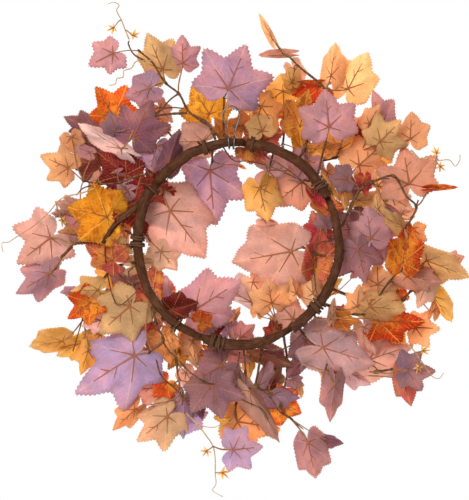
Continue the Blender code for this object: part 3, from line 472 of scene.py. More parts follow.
# Tendrils, in the same form: a curling stem with small leaflets.
TENDRILS = {
    "tendril_top": ([(-141, 265, 12), (-146, 277, 10), (-151, 290, 9), (-157, 302, 8), (-154, 309, 8),
        (-161, 313, 9), (-168, 311, 10)], [
        (1, (-136, 270), (-125, 274), 12, 12, UNDER, "leaflet"),
        (2, (-161, 280), (-171, 276), 12, 10, UNDER, "leaflet"),
    ]),
    "tendril_left": ([(-185, 72, 8), (-202, 65, 8), (-224, 60, 8), (-235, 52, 8), (-246, 39, 8),
        (-265, 22, 8), (-287, 8, 8), (-298, 1, 8), (-306, 0, 9), (-305, -12, 10)], [
        (3, (-228, 30), (-220, 17), 12, 8, UNDER, "leaflet"),
    ]),
    "tendril_right": ([(226, 121, 11), (237, 110, 10), (248, 109, 9), (257, 107, 9), (275, 108, 9),
        (283, 100, 10), (289, 108, 10), (289, 116, 9)], [
        (3, (259, 117), (255, 127), 12, 10, UNDER, "leaflet"),
        (3, (263, 100), (271, 94), 12, 10, UNDER, "leaflet"),
    ]),
    "tendril_lower_right": ([(220, -130, 12), (231, -142, 10), (240, -155, 9), (253, -173, 9), (262, -176, 9),
        (268, -169, 10)], [
        (1, (241, -140), (254, -139), 13, 9, UNDER, "leaflet"),
        (2, (236, -161), (232, -170), 12, 8, UNDER, "leaflet"),
    ]),
    "tendril_bottom": ([(-67, -221, 8), (-53, -235, 8), (-41, -250, 8), (-32, -264, 8), (-29, -280, 8),
        (-29, -298, 8), (-28, -313, 8), (-32, -322, 9), (-19, -330, 9)], [
        (3, (-40, -270), (-46, -278), 13, 8, UNDER, "leaflet"),
        (5, (-20, -298), (-10, -307), 14, 8, UNDER, "leaflet"),
        (3, (-6, -269), (34, -265), 60, 11, UNDER, "lilac"),
    ]),
}

# Side curls of the tendrils.
TENDRIL_CURLS = {
    "tendril_left": [[(-235, 52, 8), (-233, 42, 8), (-228, 30, 8), (-223, 23, 8), (-219, 20, 9)]],
    "tendril_bottom": [[(-53, -235, 8), (-40, -239, 8), (-28, -239, 8), (-19, -234, 9), (-11, -233, 9),
        (-3, -229, 10)], [(-32, -264, 8), (-20, -269, 9), (-6, -269, 11)]],
}

# Loose twigs and covered wires between the sprays: thickness, finish and routes.
TWIGS = {
    "upper_left_twigs": (1.3, BARK, [
        [(-62, 170, 25), (-49, 160, 24), (-32, 148, 21), (-24, 135, 15)],
        [(-114, 164, 25), (-94, 176, 24), (-70, 176, 25)],
        [(-77, 195, 26), (-88, 187, 25), (-103, 170, 25)],
        [(-120, 237, 19), (-135, 246, 20), (-142, 259, 20), (-141, 263, 14)],
    ]),
    "upper_left_curl": (0.8, VINE, [
        [(-111, 238, 20), (-131, 237, 17), (-138, 228, 16), (-148, 224, 15), (-149, 216, 15), (-157, 214, 14),
            (-159, 207, 14), (-167, 205, 14)],
    ]),
    "inner_wires": (1.0, BARK, [
        [(-24, 134, 16), (-7, 109, 18), (11, 107, 20), (27, 104, 20), (42, 100, 20), (63, 91, 21),
            (81, 82, 20), (98, 66, 16)],
        [(32, 130, 16), (36, 114, 22), (55, 103, 23), (81, 84, 22), (97, 69, 18)],
        [(-32, 133, 16), (-62, 114, 20), (-80, 101, 21), (-94, 88, 20), (-114, 62, 19), (-127, 52, 14)],
        [(-41, 130, 16), (-64, 108, 22), (-85, 92, 21), (-97, 73, 20), (-111, 55, 17), (-125, 46, 13)],
    ]),
    "left_wires": (1.1, BARK, [
        [(-138, 38, 14), (-163, 20, 15), (-172, -4, 16), (-170, -35, 16), (-163, -68, 17), (-153, -81, 16),
            (-132, -64, 16)],
        [(-136, -32, 16), (-142, -38, 20), (-138, -52, 21), (-132, -61, 17)],
        [(-215, -5, 14), (-233, -25, 13), (-241, -38, 12)],
        [(-181, -56, 44), (-200, -79, 40), (-203, -99, 38), (-209, -121, 32), (-215, -142, 30)],
        [(-179, 77, 20), (-200, 72, 18), (-210, 62, 14)],
    ]),
    "lower_left_wires": (1.0, STALK, [
        [(-114, -64, 18), (-119, -100, 16), (-118, -124, 15), (-111, -142, 15)],
        [(-101, -82, 18), (-99, -103, 15), (-88, -133, 15), (-75, -155, 14), (-77, -172, 14),
            (-72, -198, 16)],
        [(-96, -90, 18), (-94, -100, 16), (-83, -117, 15), (-71, -131, 15), (-60, -147, 15), (-42, -181, 17)],
    ]),
    "bottom_wires": (1.2, BARK, [
        [(-97, -129, 20), (-88, -142, 17), (-77, -152, 16), (-62, -168, 16), (-42, -181, 16),
            (-31, -183, 18)],
        [(-106, -152, 20), (-99, -173, 19), (-80, -191, 18), (-66, -205, 18), (-57, -225, 14)],
        [(12, -131, 18), (32, -136, 20), (49, -140, 21), (68, -134, 20), (85, -117, 20)],
        [(8, -139, 18), (11, -168, 24), (12, -188, 25), (32, -192, 24), (45, -204, 22), (55, -220, 22),
            (70, -230, 24), (86, -243, 24)],
        [(3, -142, 19), (-2, -178, 24), (1, -200, 25), (16, -209, 24), (32, -217, 23), (40, -230, 22)],
    ]),
    "right_wires": (1.0, STALK, [
        [(85, -92, 16), (96, -92, 18), (107, -98, 20), (140, -98, 24), (170, -98, 28), (185, -90, 30)],
        [(109, -72, 16), (107, -77, 20), (120, -69, 22), (133, -61, 22), (149, -46, 24)],
        [(172, -168, 24), (185, -169, 24), (197, -170, 24), (209, -168, 22)],
        [(170, -173, 24), (188, -174, 24), (205, -176, 24)],
    ]),
    "right_dark_wires": (1.1, BARK, [
        [(136, 6, 14), (120, 4, 20), (102, -4, 22), (99, -25, 23), (101, -46, 23), (103, -64, 20),
            (111, -70, 16)],
        [(215, -32, 28), (211, -36, 28), (206, -42, 28), (196, -53, 29), (185, -69, 32)],
        [(235, 56, 10), (231, 43, 9), (226, 31, 10)],
    ]),
    "upper_right_wires": (1.0, BARK, [
        [(79, 231, 20), (70, 240, 17), (60, 246, 15), (50, 259, 14)],
        [(79, 231, 20), (89, 222, 22), (115, 202, 25)],
        [(137, 27, 14), (149, 53, 24), (159, 74, 24), (177, 82, 22), (198, 84, 20)],
    ]),
}

# The colour of the side of a leaf that shows, as red, green and blue in hex. A program tuned these.
LEAF_COLOURS = {
    "mauve": "ae8aa1", "lilac": "b69dbd", "pink_mauve": "c5959f", "pale_mauve": "caa6a8",
    "brown_mauve": "a1727c", "slate_mauve": "8b6a79", "pale_pink": "ecd2cb", "pink_peach": "dbac9f",
    "peach_pink": "deaf9f", "orange_peach": "e5a474", "orange": "f1a368", "amber": "e1a64c",
    "amber_tan": "e6ba72", "yellow_peach": "f1c48b", "tan": "cd9f66", "beige": "c8a272",
    "beige_peach": "d6af86", "rose_peach": "cc937a", "dusky_rose": "ae7f82", "rose": "c67f85",
    "rose_red": "b4504b", "rose_mauve": "b27d88", "crimson": "b52a48", "burgundy": "6e1a22",
    "dark_red": "7c1c1f", "wine": "742736", "plum": "875666", "mottled_yellow": "cf8418",
    "mottled_orange": "e05a1c", "mottled_red": "c8380f", "orange_red": "cf4a1b", "red_orange": "c8421a",
    "orange_coral": "dd925f", "orange_brown": "c07237", "orange_tan": "e9a862", "yellow_orange": "efbb4e",
    "peach": "efb883", "pale_peach": "eec4a4", "pink_tan": "c19483", "tan_rose": "ce956f",
    "leaflet": "f5c664",
}


def place(across, up, deep):
    """A point of the plan, in the frame's metres."""
    return Vector((HOOK_ACROSS - across, HOOK_DEEP - deep, up - HOOK_UP)) * MM


def on_ring(clock, radius=RING_RADIUS, deep=RING_DEEP):
    """A plan point given by its clock angle in degrees, clockwise from the top."""
    angle = math.radians(clock)
    return Vector((radius * math.sin(angle), radius * math.cos(angle), deep))


def smooth_route(points, steps):
    """A Catmull-Rom curve through the points, with a number of steps to each stretch."""
    points = [Vector(p) for p in points]
    ends = [2 * points[0] - points[1]] + points + [2 * points[-1] - points[-2]]
    route = []
    for before, start, end, after in zip(ends, ends[1:], ends[2:], ends[3:]):
        for step in range(steps):
            t = step / steps
            route.append(0.5 * (2 * start + (end - before) * t
                                + (2 * before - 5 * start + 4 * end - after) * t * t
                                + (3 * start - before - 3 * end + after) * t ** 3))
    return route + [points[-1]]


def bent_route(start, leaving, end, arriving, steps):
    """A Bezier curve from start to end, given the directions it leaves and arrives in."""
    reach = (end - start).length
    first = start + leaving * (reach * 0.36)
    second = end - arriving * (reach * 0.36)
    route = []
    for step in range(steps + 1):
        t = step / steps
        s = 1 - t
        route.append(start * s ** 3 + first * (3 * s * s * t) + second * (3 * s * t * t) + end * t ** 3)
    return route


def plan_route(points, steps):
    """A smooth route in metres through points of the plan."""
    return smooth_route([place(*p) for p in points], steps)


def smooth_shares(shares, steps):
    """Numbers eased from one to the next as smooth_route eases points."""
    return [spot.x for spot in smooth_route([Vector((share, 0, 0)) for share in shares], steps)]


def heading(route, at):
    """The direction a route runs in at one of its points."""
    return (route[min(at + 1, len(route) - 1)] - route[max(at - 1, 0)]).normalized()


def taper(route, thick, thin):
    """Radii in metres that go evenly from thick to thin, in millimetres, along a route."""
    last = len(route) - 1
    return [(thick + (thin - thick) * (i / last)) * MM for i in range(last + 1)]


# ---------------------------------------------------------------- colours

def linear(code):
    """A hex colour as linear red, green and blue."""
    shades = [int(code[i:i + 2], 16) / 255 for i in (0, 2, 4)]
    return np.array([s / 12.92 if s < 0.04045 else ((s + 0.055) / 1.055) ** 2.4 for s in shades])


def leaf_paints(colour, face, rng):
    """The underside, its blush (partly painted highlight), the top face, its print and the ribs of one leaf,
    in linear colour.
    """
    shown = linear(LEAF_COLOURS[colour]) * rng.uniform(0.86, 1.12)
    # The blush tint: yellow-cream on orange leaves, which is painted highlight, and peach on the others,
    # which is their own colour.
    blush_tint_and_highlight = linear("f7cb8e") if shown[0] > 3.2 * shown[2] else linear("eda58e")
    if face == TOP:
        top = shown
        prints = linear("f5b73a") if shown[0] > 0.36 else linear("a8403c")
        under = np.clip(shown, 0.02, 1) ** 0.7
    else:
        under = shown
        top = np.clip(shown, 0, 1) ** 1.45
        prints = shown * 0.5 + linear("d98a3c") * 0.5
    glow = under / max(under.max(), 0.2)
    part = 0.52 if shown[0] > 3.2 * shown[2] else 0.42
    blush = under * (1 - part) + blush_tint_and_highlight * part * (0.3 + 0.7 * min(1.0, under.mean() / 0.35))
    ribs = linear("8a4a24") * (0.75 + 0.5 * under.mean()) + glow * 0.05
    return under, blush, top, prints * 0.72 + top * 0.28, ribs


# ---------------------------------------------------------------- materials

class Nodes:
    """Short calls for wiring one material's nodes."""

    def __init__(self, name):
        self.material = bpy.data.materials.new(name)
        self.material.use_nodes = True
        self.tree = self.material.node_tree
        self.shader = self.tree.nodes["Principled BSDF"]
        self.output = self.tree.nodes["Material Output"]

    def add(self, kind, **settings):
        """A new node of a kind, with its settings."""
        node = self.tree.nodes.new("ShaderNode" + kind)
        for key, value in settings.items():
            setattr(node, key, value)
        return node

    def join(self, source, target):
        self.tree.links.new(source, target)

    def sum(self, operation, *values):
        """The result of one sum on numbers and outputs."""
        node = self.add("Math", operation=operation)
        for socket, value in zip(node.inputs, values):
            if isinstance(value, (int, float)):
                socket.default_value = value
            else:
                self.join(value, socket)
        return node.outputs[0]

    def blend(self, share, first, second):
        """A colour between two others."""
        node = self.add("Mix", data_type="RGBA")
        for socket, value in zip((node.inputs[0], node.inputs[6], node.inputs[7]), (share, first, second)):
            if isinstance(value, (int, float)):
                socket.default_value = value
            elif isinstance(value, tuple):
                socket.default_value = (*value, 1.0)
            else:
                self.join(value, socket)
        return node.outputs[2]

    def attribute(self, name):
        return self.add("Attribute", attribute_name=name).outputs["Color"]

    def where(self):
        return self.add("TexCoord").outputs["Object"]

    def stretched(self, vector, scale):
        """A position scaled along its three axes."""
        node = self.add("Mapping")
        node.inputs["Scale"].default_value = scale
        self.join(vector, node.inputs["Vector"])
        return node.outputs[0]

    def noise(self, vector, scale, detail=3.0, roughness=0.55, distortion=0.0):
        node = self.add("TexNoise")
        node.inputs["Scale"].default_value = scale
        node.inputs["Detail"].default_value = detail
        node.inputs["Roughness"].default_value = roughness
        node.inputs["Distortion"].default_value = distortion
        self.join(vector, node.inputs["Vector"])
        return node.outputs[0]

    def ramp(self, value, low, high):
        """0 below low, 1 above high, and smooth between."""
        node = self.add("MapRange", interpolation_type="SMOOTHSTEP")
        node.inputs["From Min"].default_value = low
        node.inputs["From Max"].default_value = high
        self.join(value, node.inputs["Value"])
        return node.outputs[0]

    def bump(self, height, strength, distance):
        """Raises the surface by height, and gives its bumped normal."""
        node = self.add("Bump")
        node.inputs["Strength"].default_value = strength
        node.inputs["Distance"].default_value = distance
        self.join(height, node.inputs["Height"])
        self.join(node.outputs[0], self.shader.inputs["Normal"])
        return node.outputs[0]

    def coloured(self, colour):
        """Gives the surface its colour."""
        self.join(colour, self.shader.inputs["Base Color"])

    def fixed(self, **values):
        """Sets the surface's unvarying numbers and colours."""
        for key, value in values.items():
            socket = self.shader.inputs[key.replace("_", " ")]
            socket.default_value = (*value, 1.0) if isinstance(value, tuple) else value


def printed_veins(n):
    """Shares of main and side veins at a point of a leaf, from the leaf's own flat coordinates."""
    flat = n.add("UVMap", uv_map="LeafFlat").outputs[0]
    parts = n.add("SeparateXYZ")
    n.join(flat, parts.inputs[0])
    stray = n.sum("MULTIPLY_ADD", n.noise(n.where(), 110.0, 2.0), 0.09, -0.045)
    along = n.sum("MULTIPLY_ADD", parts.outputs[0], 2.0, -1.0)
    aside = n.sum("ABSOLUTE", n.sum("ADD", n.sum("MULTIPLY_ADD", parts.outputs[1], 2.0, -1.0), stray))
    reach = n.sum("SQRT", n.sum("ADD", n.sum("MULTIPLY", along, along), n.sum("MULTIPLY", aside, aside)))
    turn = n.sum("PINGPONG", n.sum("ARCTAN2", aside, along), math.radians(LOBE_ANGLE / 2))
    off = n.sum("MULTIPLY", reach, n.sum("SINE", turn))
    out = n.sum("MULTIPLY", reach, n.sum("COSINE", turn))
    main = n.sum("SUBTRACT", 1.0, n.ramp(off, 0.004, 0.016))
    step = n.sum("FRACT", n.sum("MULTIPLY", n.sum("MULTIPLY_ADD", off, -0.95, out), 9.0))
    ridge = n.sum("ABSOLUTE", n.sum("SUBTRACT", step, 0.5))
    side = n.sum("MULTIPLY", n.ramp(ridge, 0.40, 0.49), n.ramp(out, 0.08, 0.22))
    return main, side, reach


def leaf_material(name, underside):
    """Printed polyester leaf: one side of it, see-through to strong light."""
    n = Nodes(name)
    where = n.where()
    base = n.attribute("paint")
    second = n.attribute("paint_two")
    main, side, reach = printed_veins(n)
    broad = n.noise(where, 26.0, 2.0, 0.5)
    fine = n.noise(where, 420.0, 2.0, 0.6)
    weave = n.noise(n.stretched(where, (1.0, 1.0, 0.35)), 2600.0, 2.0)
    if underside:
        # The underside's blush towards the edges; on orange leaves it is painted highlight.
        blotch = n.ramp(n.sum("MULTIPLY_ADD", reach, 0.28, broad), 0.42, 0.88)
        cloth = n.blend(blotch, base, second)
        veins = n.sum("MULTIPLY", n.sum("MAXIMUM", main, n.sum("MULTIPLY", side, 0.7)), 0.38)
        darker = n.blend(0.5, cloth, (0.95, 0.66, 0.45))
    else:
        patches = n.ramp(n.sum("MULTIPLY_ADD", reach, -0.22, broad), 0.30, 0.56)
        cloth = n.blend(n.sum("MULTIPLY", patches, 0.8), base, second)
        scorched = n.noise(where, 90.0, 3.0, 0.7, 0.4)
        rust = n.blend(0.62, base, (0.26, 0.018, 0.006))
        cloth = n.blend(n.sum("MULTIPLY", n.ramp(scorched, 0.46, 0.60), 0.85), cloth, rust)
        worn = n.ramp(n.noise(where, 130.0, 2.0), 0.42, 0.62)
        faded = n.sum("MULTIPLY", side, n.sum("MULTIPLY_ADD", worn, 0.5, 0.3))
        veins = n.sum("MULTIPLY", n.sum("MAXIMUM", main, faded), 0.9)
        darker = n.blend(0.35, second, (1.0, 0.62, 0.12))
    cloth = n.blend(veins, cloth, darker)
    cloudy = n.noise(where, 45.0, 3.0, 0.6, 0.3)
    grain = n.sum("ADD", n.sum("MULTIPLY_ADD", n.ramp(fine, 0.3, 0.7), 0.16, 0.80),
                  n.sum("MULTIPLY", n.ramp(cloudy, 0.3, 0.72), 0.24))
    shade = n.add("HueSaturation")
    n.join(cloth, shade.inputs["Color"])
    n.join(n.sum("MULTIPLY", grain, n.sum("MULTIPLY_ADD", n.ramp(weave, 0.3, 0.7), 0.10, 0.95)),
           shade.inputs["Value"])
    colour = shade.outputs[0]
    n.coloured(colour)
    n.fixed(Roughness=0.8 if underside else 0.62, Specular_IOR_Level=0.15)
    raised = n.sum("ADD", n.sum("MULTIPLY", weave, 0.35), n.sum("ADD", n.sum("MULTIPLY", main, 0.8), side))
    bumped = n.bump(raised, 0.35, 0.0004)
    through = n.add("BsdfTranslucent")
    glow = n.add("Gamma")
    glow.inputs[1].default_value = 0.62
    n.join(colour, glow.inputs[0])
    n.join(glow.outputs[0], through.inputs["Color"])
    n.join(bumped, through.inputs["Normal"])
    both = n.add("MixShader")
    both.inputs[0].default_value = 0.5
    n.join(n.shader.outputs[0], both.inputs[1])
    n.join(through.outputs[0], both.inputs[2])
    n.join(both.outputs[0], n.output.inputs["Surface"])
    return n.material


def rib_material():
    """Ribs moulded in one with the stalks, in a brown that differs a little from leaf to leaf."""
    n = Nodes("rib_plastic")
    grain = n.ramp(n.noise(n.where(), 700.0, 2.0), 0.3, 0.7)
    n.coloured(n.blend(n.sum("MULTIPLY", grain, 0.35), n.attribute("paint"), n.attribute("paint_two")))
    n.fixed(Roughness=0.55, Specular_IOR_Level=0.2)
    return n.material


def stalk_material(name, dark, light, roughness):
    """Moulded plastic over wire: streaked, slightly glossy."""
    n = Nodes(name)
    where = n.where()
    streak = n.ramp(n.noise(where, 260.0, 4.0, 0.6), 0.35, 0.68)
    spot = n.ramp(n.noise(where, 1500.0, 2.0), 0.4, 0.75)
    colour = n.blend(streak, dark, light)
    n.coloured(n.blend(n.sum("MULTIPLY", spot, 0.3), colour, tuple(c * 0.45 for c in dark)))
    n.fixed(Roughness=roughness, Specular_IOR_Level=0.15)
    n.bump(n.noise(where, 1100.0, 3.0), 0.4, 0.0005)
    return n.material


def bark_material():
    """The ring's moulded bark: fine lengthwise streaks round the ring, the raised streaks painted paler as
    highlight, and broad paler patches.
    """
    n = Nodes("moulded_bark")
    parts = n.add("SeparateXYZ")
    n.join(n.where(), parts.inputs[0])
    height = n.sum("ADD", parts.outputs[2], HOOK_UP * MM)
    round_ring = n.sum("MULTIPLY", n.sum("ARCTAN2", parts.outputs[0], height), RING_RADIUS * MM)
    outward = n.sum("SQRT", n.sum("ADD", n.sum("MULTIPLY", parts.outputs[0], parts.outputs[0]),
                                  n.sum("MULTIPLY", height, height)))
    joined = n.add("CombineXYZ")
    for socket, value in zip(joined.inputs, (n.sum("MULTIPLY", round_ring, 0.16), outward, parts.outputs[1])):
        n.join(value, socket)
    streaks = n.noise(joined.outputs[0], 520.0, 5.0, 0.62, 0.6)
    patches = n.noise(n.where(), 60.0, 3.0)
    pits = n.noise(n.where(), 900.0, 3.0, 0.6)
    # The streaks' paler colour falls on the raised streaks: it is painted highlight.
    brown = n.blend(n.ramp(streaks, 0.30, 0.70), (0.030, 0.0095, 0.0036), (0.088, 0.031, 0.0128))
    brown = n.blend(n.sum("MULTIPLY", n.ramp(patches, 0.45, 0.7), 0.45), brown, (0.155, 0.060, 0.027))
    n.coloured(brown)
    n.join(n.sum("MULTIPLY_ADD", n.ramp(pits, 0.35, 0.65), 0.2, 0.5), n.shader.inputs["Roughness"])
    n.fixed(Specular_IOR_Level=0.08)
    n.bump(n.sum("ADD", streaks, n.sum("MULTIPLY", pits, 0.3)), 0.6, 0.0010)
    return n.material


def wrap_material():
    """Binding wire wrapped in rough brown paper."""
    n = Nodes("wrapped_wire")
    paper = n.noise(n.where(), 1300.0, 3.0, 0.6)
    n.coloured(n.blend(n.ramp(paper, 0.35, 0.7), (0.045, 0.018, 0.008), (0.15, 0.068, 0.034)))
    n.fixed(Roughness=0.75, Specular_IOR_Level=0.12)
    n.bump(paper, 0.6, 0.0005)
    return n.material


def hanger_material():
    """Dull galvanised wire."""
    n = Nodes("galvanised_wire")
    spangle = n.noise(n.where(), 900.0, 2.0)
    n.coloured(n.blend(n.ramp(spangle, 0.35, 0.7), (0.09, 0.09, 0.095), (0.22, 0.22, 0.23)))
    n.join(n.sum("MULTIPLY_ADD", spangle, 0.3, 0.22), n.shader.inputs["Roughness"])
    n.fixed(Metallic=1.0)
    return n.material


# ---------------------------------------------------------------- the leaf blank

def edge_points(count, outline, tooth):
    """Even steps round a flat leaf's edge from its tip, every second one cut back between two teeth."""
    fine = np.linspace(0, math.tau, 2881)
    turned = np.degrees(np.minimum(fine, math.tau - fine))
    reach = np.interp(turned, *zip(*outline))
    x = reach * np.cos(fine)
    y = reach * np.sin(fine)
    run = np.concatenate([[0], np.cumsum(np.hypot(np.diff(x), np.diff(y)))])
    spots = np.arange(count) / count * run[-1]
    edge = np.stack([np.interp(spots, run, x), np.interp(spots, run, y)], axis=1)
    ahead = np.roll(edge, -1, axis=0) - np.roll(edge, 1, axis=0)
    inward = np.stack([-ahead[:, 1], ahead[:, 0]], axis=1) / np.linalg.norm(ahead, axis=1)[:, None]
    sharp = np.interp(np.abs(np.degrees(np.arctan2(edge[:, 1], edge[:, 0]))), (0, 140, 165), (1, 1, 0.2))
    cut = tooth * (np.arange(count) % 2) * sharp
    return edge + inward * cut[:, None]


def blank_disc(steps, shares):
    """A flat round disc of faces, spun from a row of edges."""
    bm = bmesh.new()
    row = [bmesh.ops.create_vert(bm, co=(share, 0, 0))["vert"][0] for share in (0.0, *shares)]
    edges = [bm.edges.new(pair) for pair in zip(row, row[1:])]
    bmesh.ops.spin(bm, geom=row + edges, cent=(0, 0, 0), axis=(0, 0, 1), angle=math.tau, steps=steps,
                   use_merge=True)
    bmesh.ops.remove_doubles(bm, verts=bm.verts, dist=1e-5)
    rim = [e for e in bm.edges if e.is_boundary]
    bmesh.ops.subdivide_edges(bm, edges=rim, cuts=1)
    return bm


def shape_blank(bm, steps, outline, tooth):
    """Pulls the disc to a lobed, toothed leaf, one unit long from the stalk to the tip."""
    edge = edge_points(steps * 2, outline, tooth)
    for v in bm.verts:
        share = v.co.xy.length
        if share < 1e-6:
            continue
        spot = round(math.atan2(v.co.y, v.co.x) / math.tau * steps * 2) % (steps * 2)
        share = 1.0 if share > 0.96 else share * 0.98
        v.co.x, v.co.y = edge[spot] * share


def add_rib(bm, start, angle, length, thick, thin):
    """One tapering rib of the moulded rib frame, lying on the flat leaf."""
    rod = bmesh.new()
    bmesh.ops.create_cone(rod, cap_ends=True, segments=6, radius1=thick, radius2=thin, depth=length)
    sides = [e for e in rod.edges if abs(e.verts[0].co.z - e.verts[1].co.z) > length / 2]
    bmesh.ops.subdivide_edges(rod, edges=sides, cuts=max(2, round(length * 12)), use_grid_fill=True)
    turned = Matrix.Rotation(angle, 4, "Z") @ Matrix.Rotation(math.pi / 2, 4, "Y")
    middle = Vector((start[0], start[1], 0)) + Vector((math.cos(angle), math.sin(angle), 0)) * (length / 2)
    bmesh.ops.transform(rod, matrix=Matrix.Translation(middle) @ turned, verts=rod.verts)
    for face in rod.faces:
        face.material_index = RIBS
        face.smooth = True
    mesh = bpy.data.meshes.new("rib")
    rod.to_mesh(mesh)
    rod.free()
    bm.from_mesh(mesh)
    bpy.data.meshes.remove(mesh)


def make_blank(name, steps, shares, outline, tooth, ribs, stout):
    """A whole flat leaf, its points, which of them are ribs or top face, and which one the stalk meets."""
    bm = blank_disc(steps, shares)
    shape_blank(bm, steps, outline, tooth)
    bmesh.ops.recalc_face_normals(bm, faces=bm.faces)
    bmesh.ops.solidify(bm, geom=bm.faces[:], thickness=LEAF_THICKNESS * MM)
    flat = bm.loops.layers.uv.new("LeafFlat")
    bm.normal_update()
    height = sum(v.co.z for v in bm.verts) / len(bm.verts)
    for face in bm.faces:
        face.material_index = TOPSIDE if face.normal.z < -0.5 else UNDERSIDE
        face.smooth = abs(face.normal.z) > 0.5
    for v in bm.verts:
        v.co.z -= height
    blade_count = len(bm.verts)
    for start, angle, length, thick, thin in ribs:
        add_rib(bm, start, angle, length, thick * stout, thin * stout)
    bm.verts.index_update()
    for v in bm.verts:
        if v.index >= blade_count:
            v.co.z = v.co.z * TYPICAL_LENGTH + RIB_LIFT * MM
    for face in bm.faces:
        for loop in face.loops:
            loop[flat].uv = (loop.vert.co.x * 0.5 + 0.5, loop.vert.co.y * 0.5 + 0.5)
    bmesh.ops.triangulate(bm, faces=[f for f in bm.faces if len(f.verts) > 4])
    mesh = bpy.data.meshes.new(name)
    bm.to_mesh(mesh)
    bm.free()
    points = np.empty(len(mesh.vertices) * 3)
    mesh.vertices.foreach_get("co", points)
    points = points.reshape(-1, 3)
    is_rib = np.arange(len(points)) >= blade_count
    is_top = ~is_rib & (points[:, 2] < 0)
    from_hub = np.hypot(points[:, 0], points[:, 1])
    return {"mesh": mesh, "points": points, "ribs": is_rib, "top": is_top,
            "hub": int(np.argmin(np.where(is_rib | is_top, np.inf, from_hub)))}


# ---------------------------------------------------------------- one leaf

def dome_slope(across, up, deep):
    """How the leafy front's dome slopes at a plan point: change of depth per unit across and up."""
    radius = math.hypot(across, up)
    bulge = math.exp(-((radius - RING_RADIUS) / DOME_WIDTH) ** 2)
    front = RIM_DEEP + (CREST_DEEP - RIM_DEEP) * bulge
    share = max(0.0, deep - RING_DEEP) / (front - RING_DEEP)
    steep = -2 * (radius - RING_RADIUS) / DOME_WIDTH ** 2 * (CREST_DEEP - RIM_DEEP) * bulge * share
    return steep * across / radius, steep * up / radius


def leaf_axes(hub, tip, deep, face, rng):
    """Hub, length and directions of a leaf: along its middle rib, across it, and out of its underside."""
    sloped_across, sloped_up = dome_slope(*hub, deep)
    door_ward = Vector((-sloped_across, 1.0, sloped_up)).normalized()
    tilt = math.tan(math.radians(MOST_TILT)) * rng.uniform(0.2, 1.0)
    turn = rng.uniform(0, math.tau)
    door_ward = (door_ward + Vector((math.cos(turn), 0, math.sin(turn))) * tilt).normalized()
    start = place(*hub, deep)
    flat = place(*tip, deep) - start
    along = (flat - door_ward * flat.dot(door_ward)).normalized()
    out = door_ward if face == UNDER else -door_ward
    return start, flat.length, along, out.cross(along).normalized(), out


def bent_blank(blank, hub, length, along, aside, out, width, rng):
    """The blank's points, folded, cupped and waved as this leaf is, in the frame's metres."""
    flat = blank["points"]
    share = min(1.0, width * MM / (FULL_WIDTH * length))
    fold = math.acos(max(0.45, share) ** 0.8) + rng.uniform(0.05, 0.16)
    squeeze = min(1.0, share / math.cos(fold)) if share < 0.97 else 1.0
    x = flat[:, 0]
    y = flat[:, 1]
    reach = np.hypot(x, y)
    angle = np.arctan2(y, x)
    skew = 1 + 0.05 * np.sin(2 * angle + rng.uniform(0, WAVE)) * np.minimum(1, reach * 2)
    skew += 0.035 * np.sin(3 * angle + rng.uniform(0, WAVE)) * np.minimum(1, reach * 2)
    notch = rng.uniform(-0.015, 0.075) - 0.22 * max(0.0, 0.85 - share)
    skew += notch * np.cos(angle * 360 / LOBE_ANGLE) * np.minimum(1, reach * 1.5) ** 2
    x = x * skew
    y = y * skew * squeeze
    ridge = np.sqrt(y * y + 0.004) - 0.063
    cup = rng.uniform(0.03, 0.20)
    bow = rng.uniform(-0.03, 0.20)
    phase = rng.uniform(0, WAVE)
    ripple = rng.uniform(0.016, 0.042)
    lobe = rng.uniform(0.0, 0.12)
    sink = ridge * math.sin(fold) + cup * reach ** 2 + bow * x * np.abs(x)
    sink += ripple * np.sin(9 * angle + phase) * np.minimum(1, reach * 1.6) ** 2
    sink += 0.014 * np.sin(5.1 * x + 7.3 * y + phase) + 0.008 * np.sin(17 * x - 11 * y + 2 * phase)
    sink += lobe * np.maximum(0, reach - 0.45) ** 2 * np.cos(angle * 360 / LOBE_ANGLE) * 1.5
    wide = y * math.cos(fold)
    return (np.array(hub) + np.outer(x * length, along) + np.outer(wide * length, aside)
            + np.outer(flat[:, 2] - sink * length * 0.8, out))


def painted(count, colour):
    """The same colour for a number of points."""
    return np.tile(np.append(colour, 1.0), (count, 1))


def leaf_part(blank, hub, tip, width, deep, face, colour, rng):
    """One leaf as a mesh with its colours, and where and how its stalk joins it."""
    start, length, along, aside, out = leaf_axes(hub, tip, deep, face, rng)
    points = bent_blank(blank, start, length, along, aside, out, width, rng)
    mesh = blank["mesh"].copy()
    mesh.vertices.foreach_set("co", points.ravel())
    under, blush, top, prints, ribs = leaf_paints(colour, face, rng)
    count = len(points)
    paint = painted(count, under)
    second = painted(count, blush)
    paint[blank["top"]] = np.append(top, 1.0)
    second[blank["top"]] = np.append(prints, 1.0)
    paint[blank["ribs"]] = np.append(ribs, 1.0)
    second[blank["ribs"]] = np.append(ribs * 1.5, 1.0)
    joint = Vector(points[blank["hub"]]) + out * (RIB_LIFT * MM)
    return (mesh, paint, second), joint, along, out


# ---------------------------------------------------------------- tubes

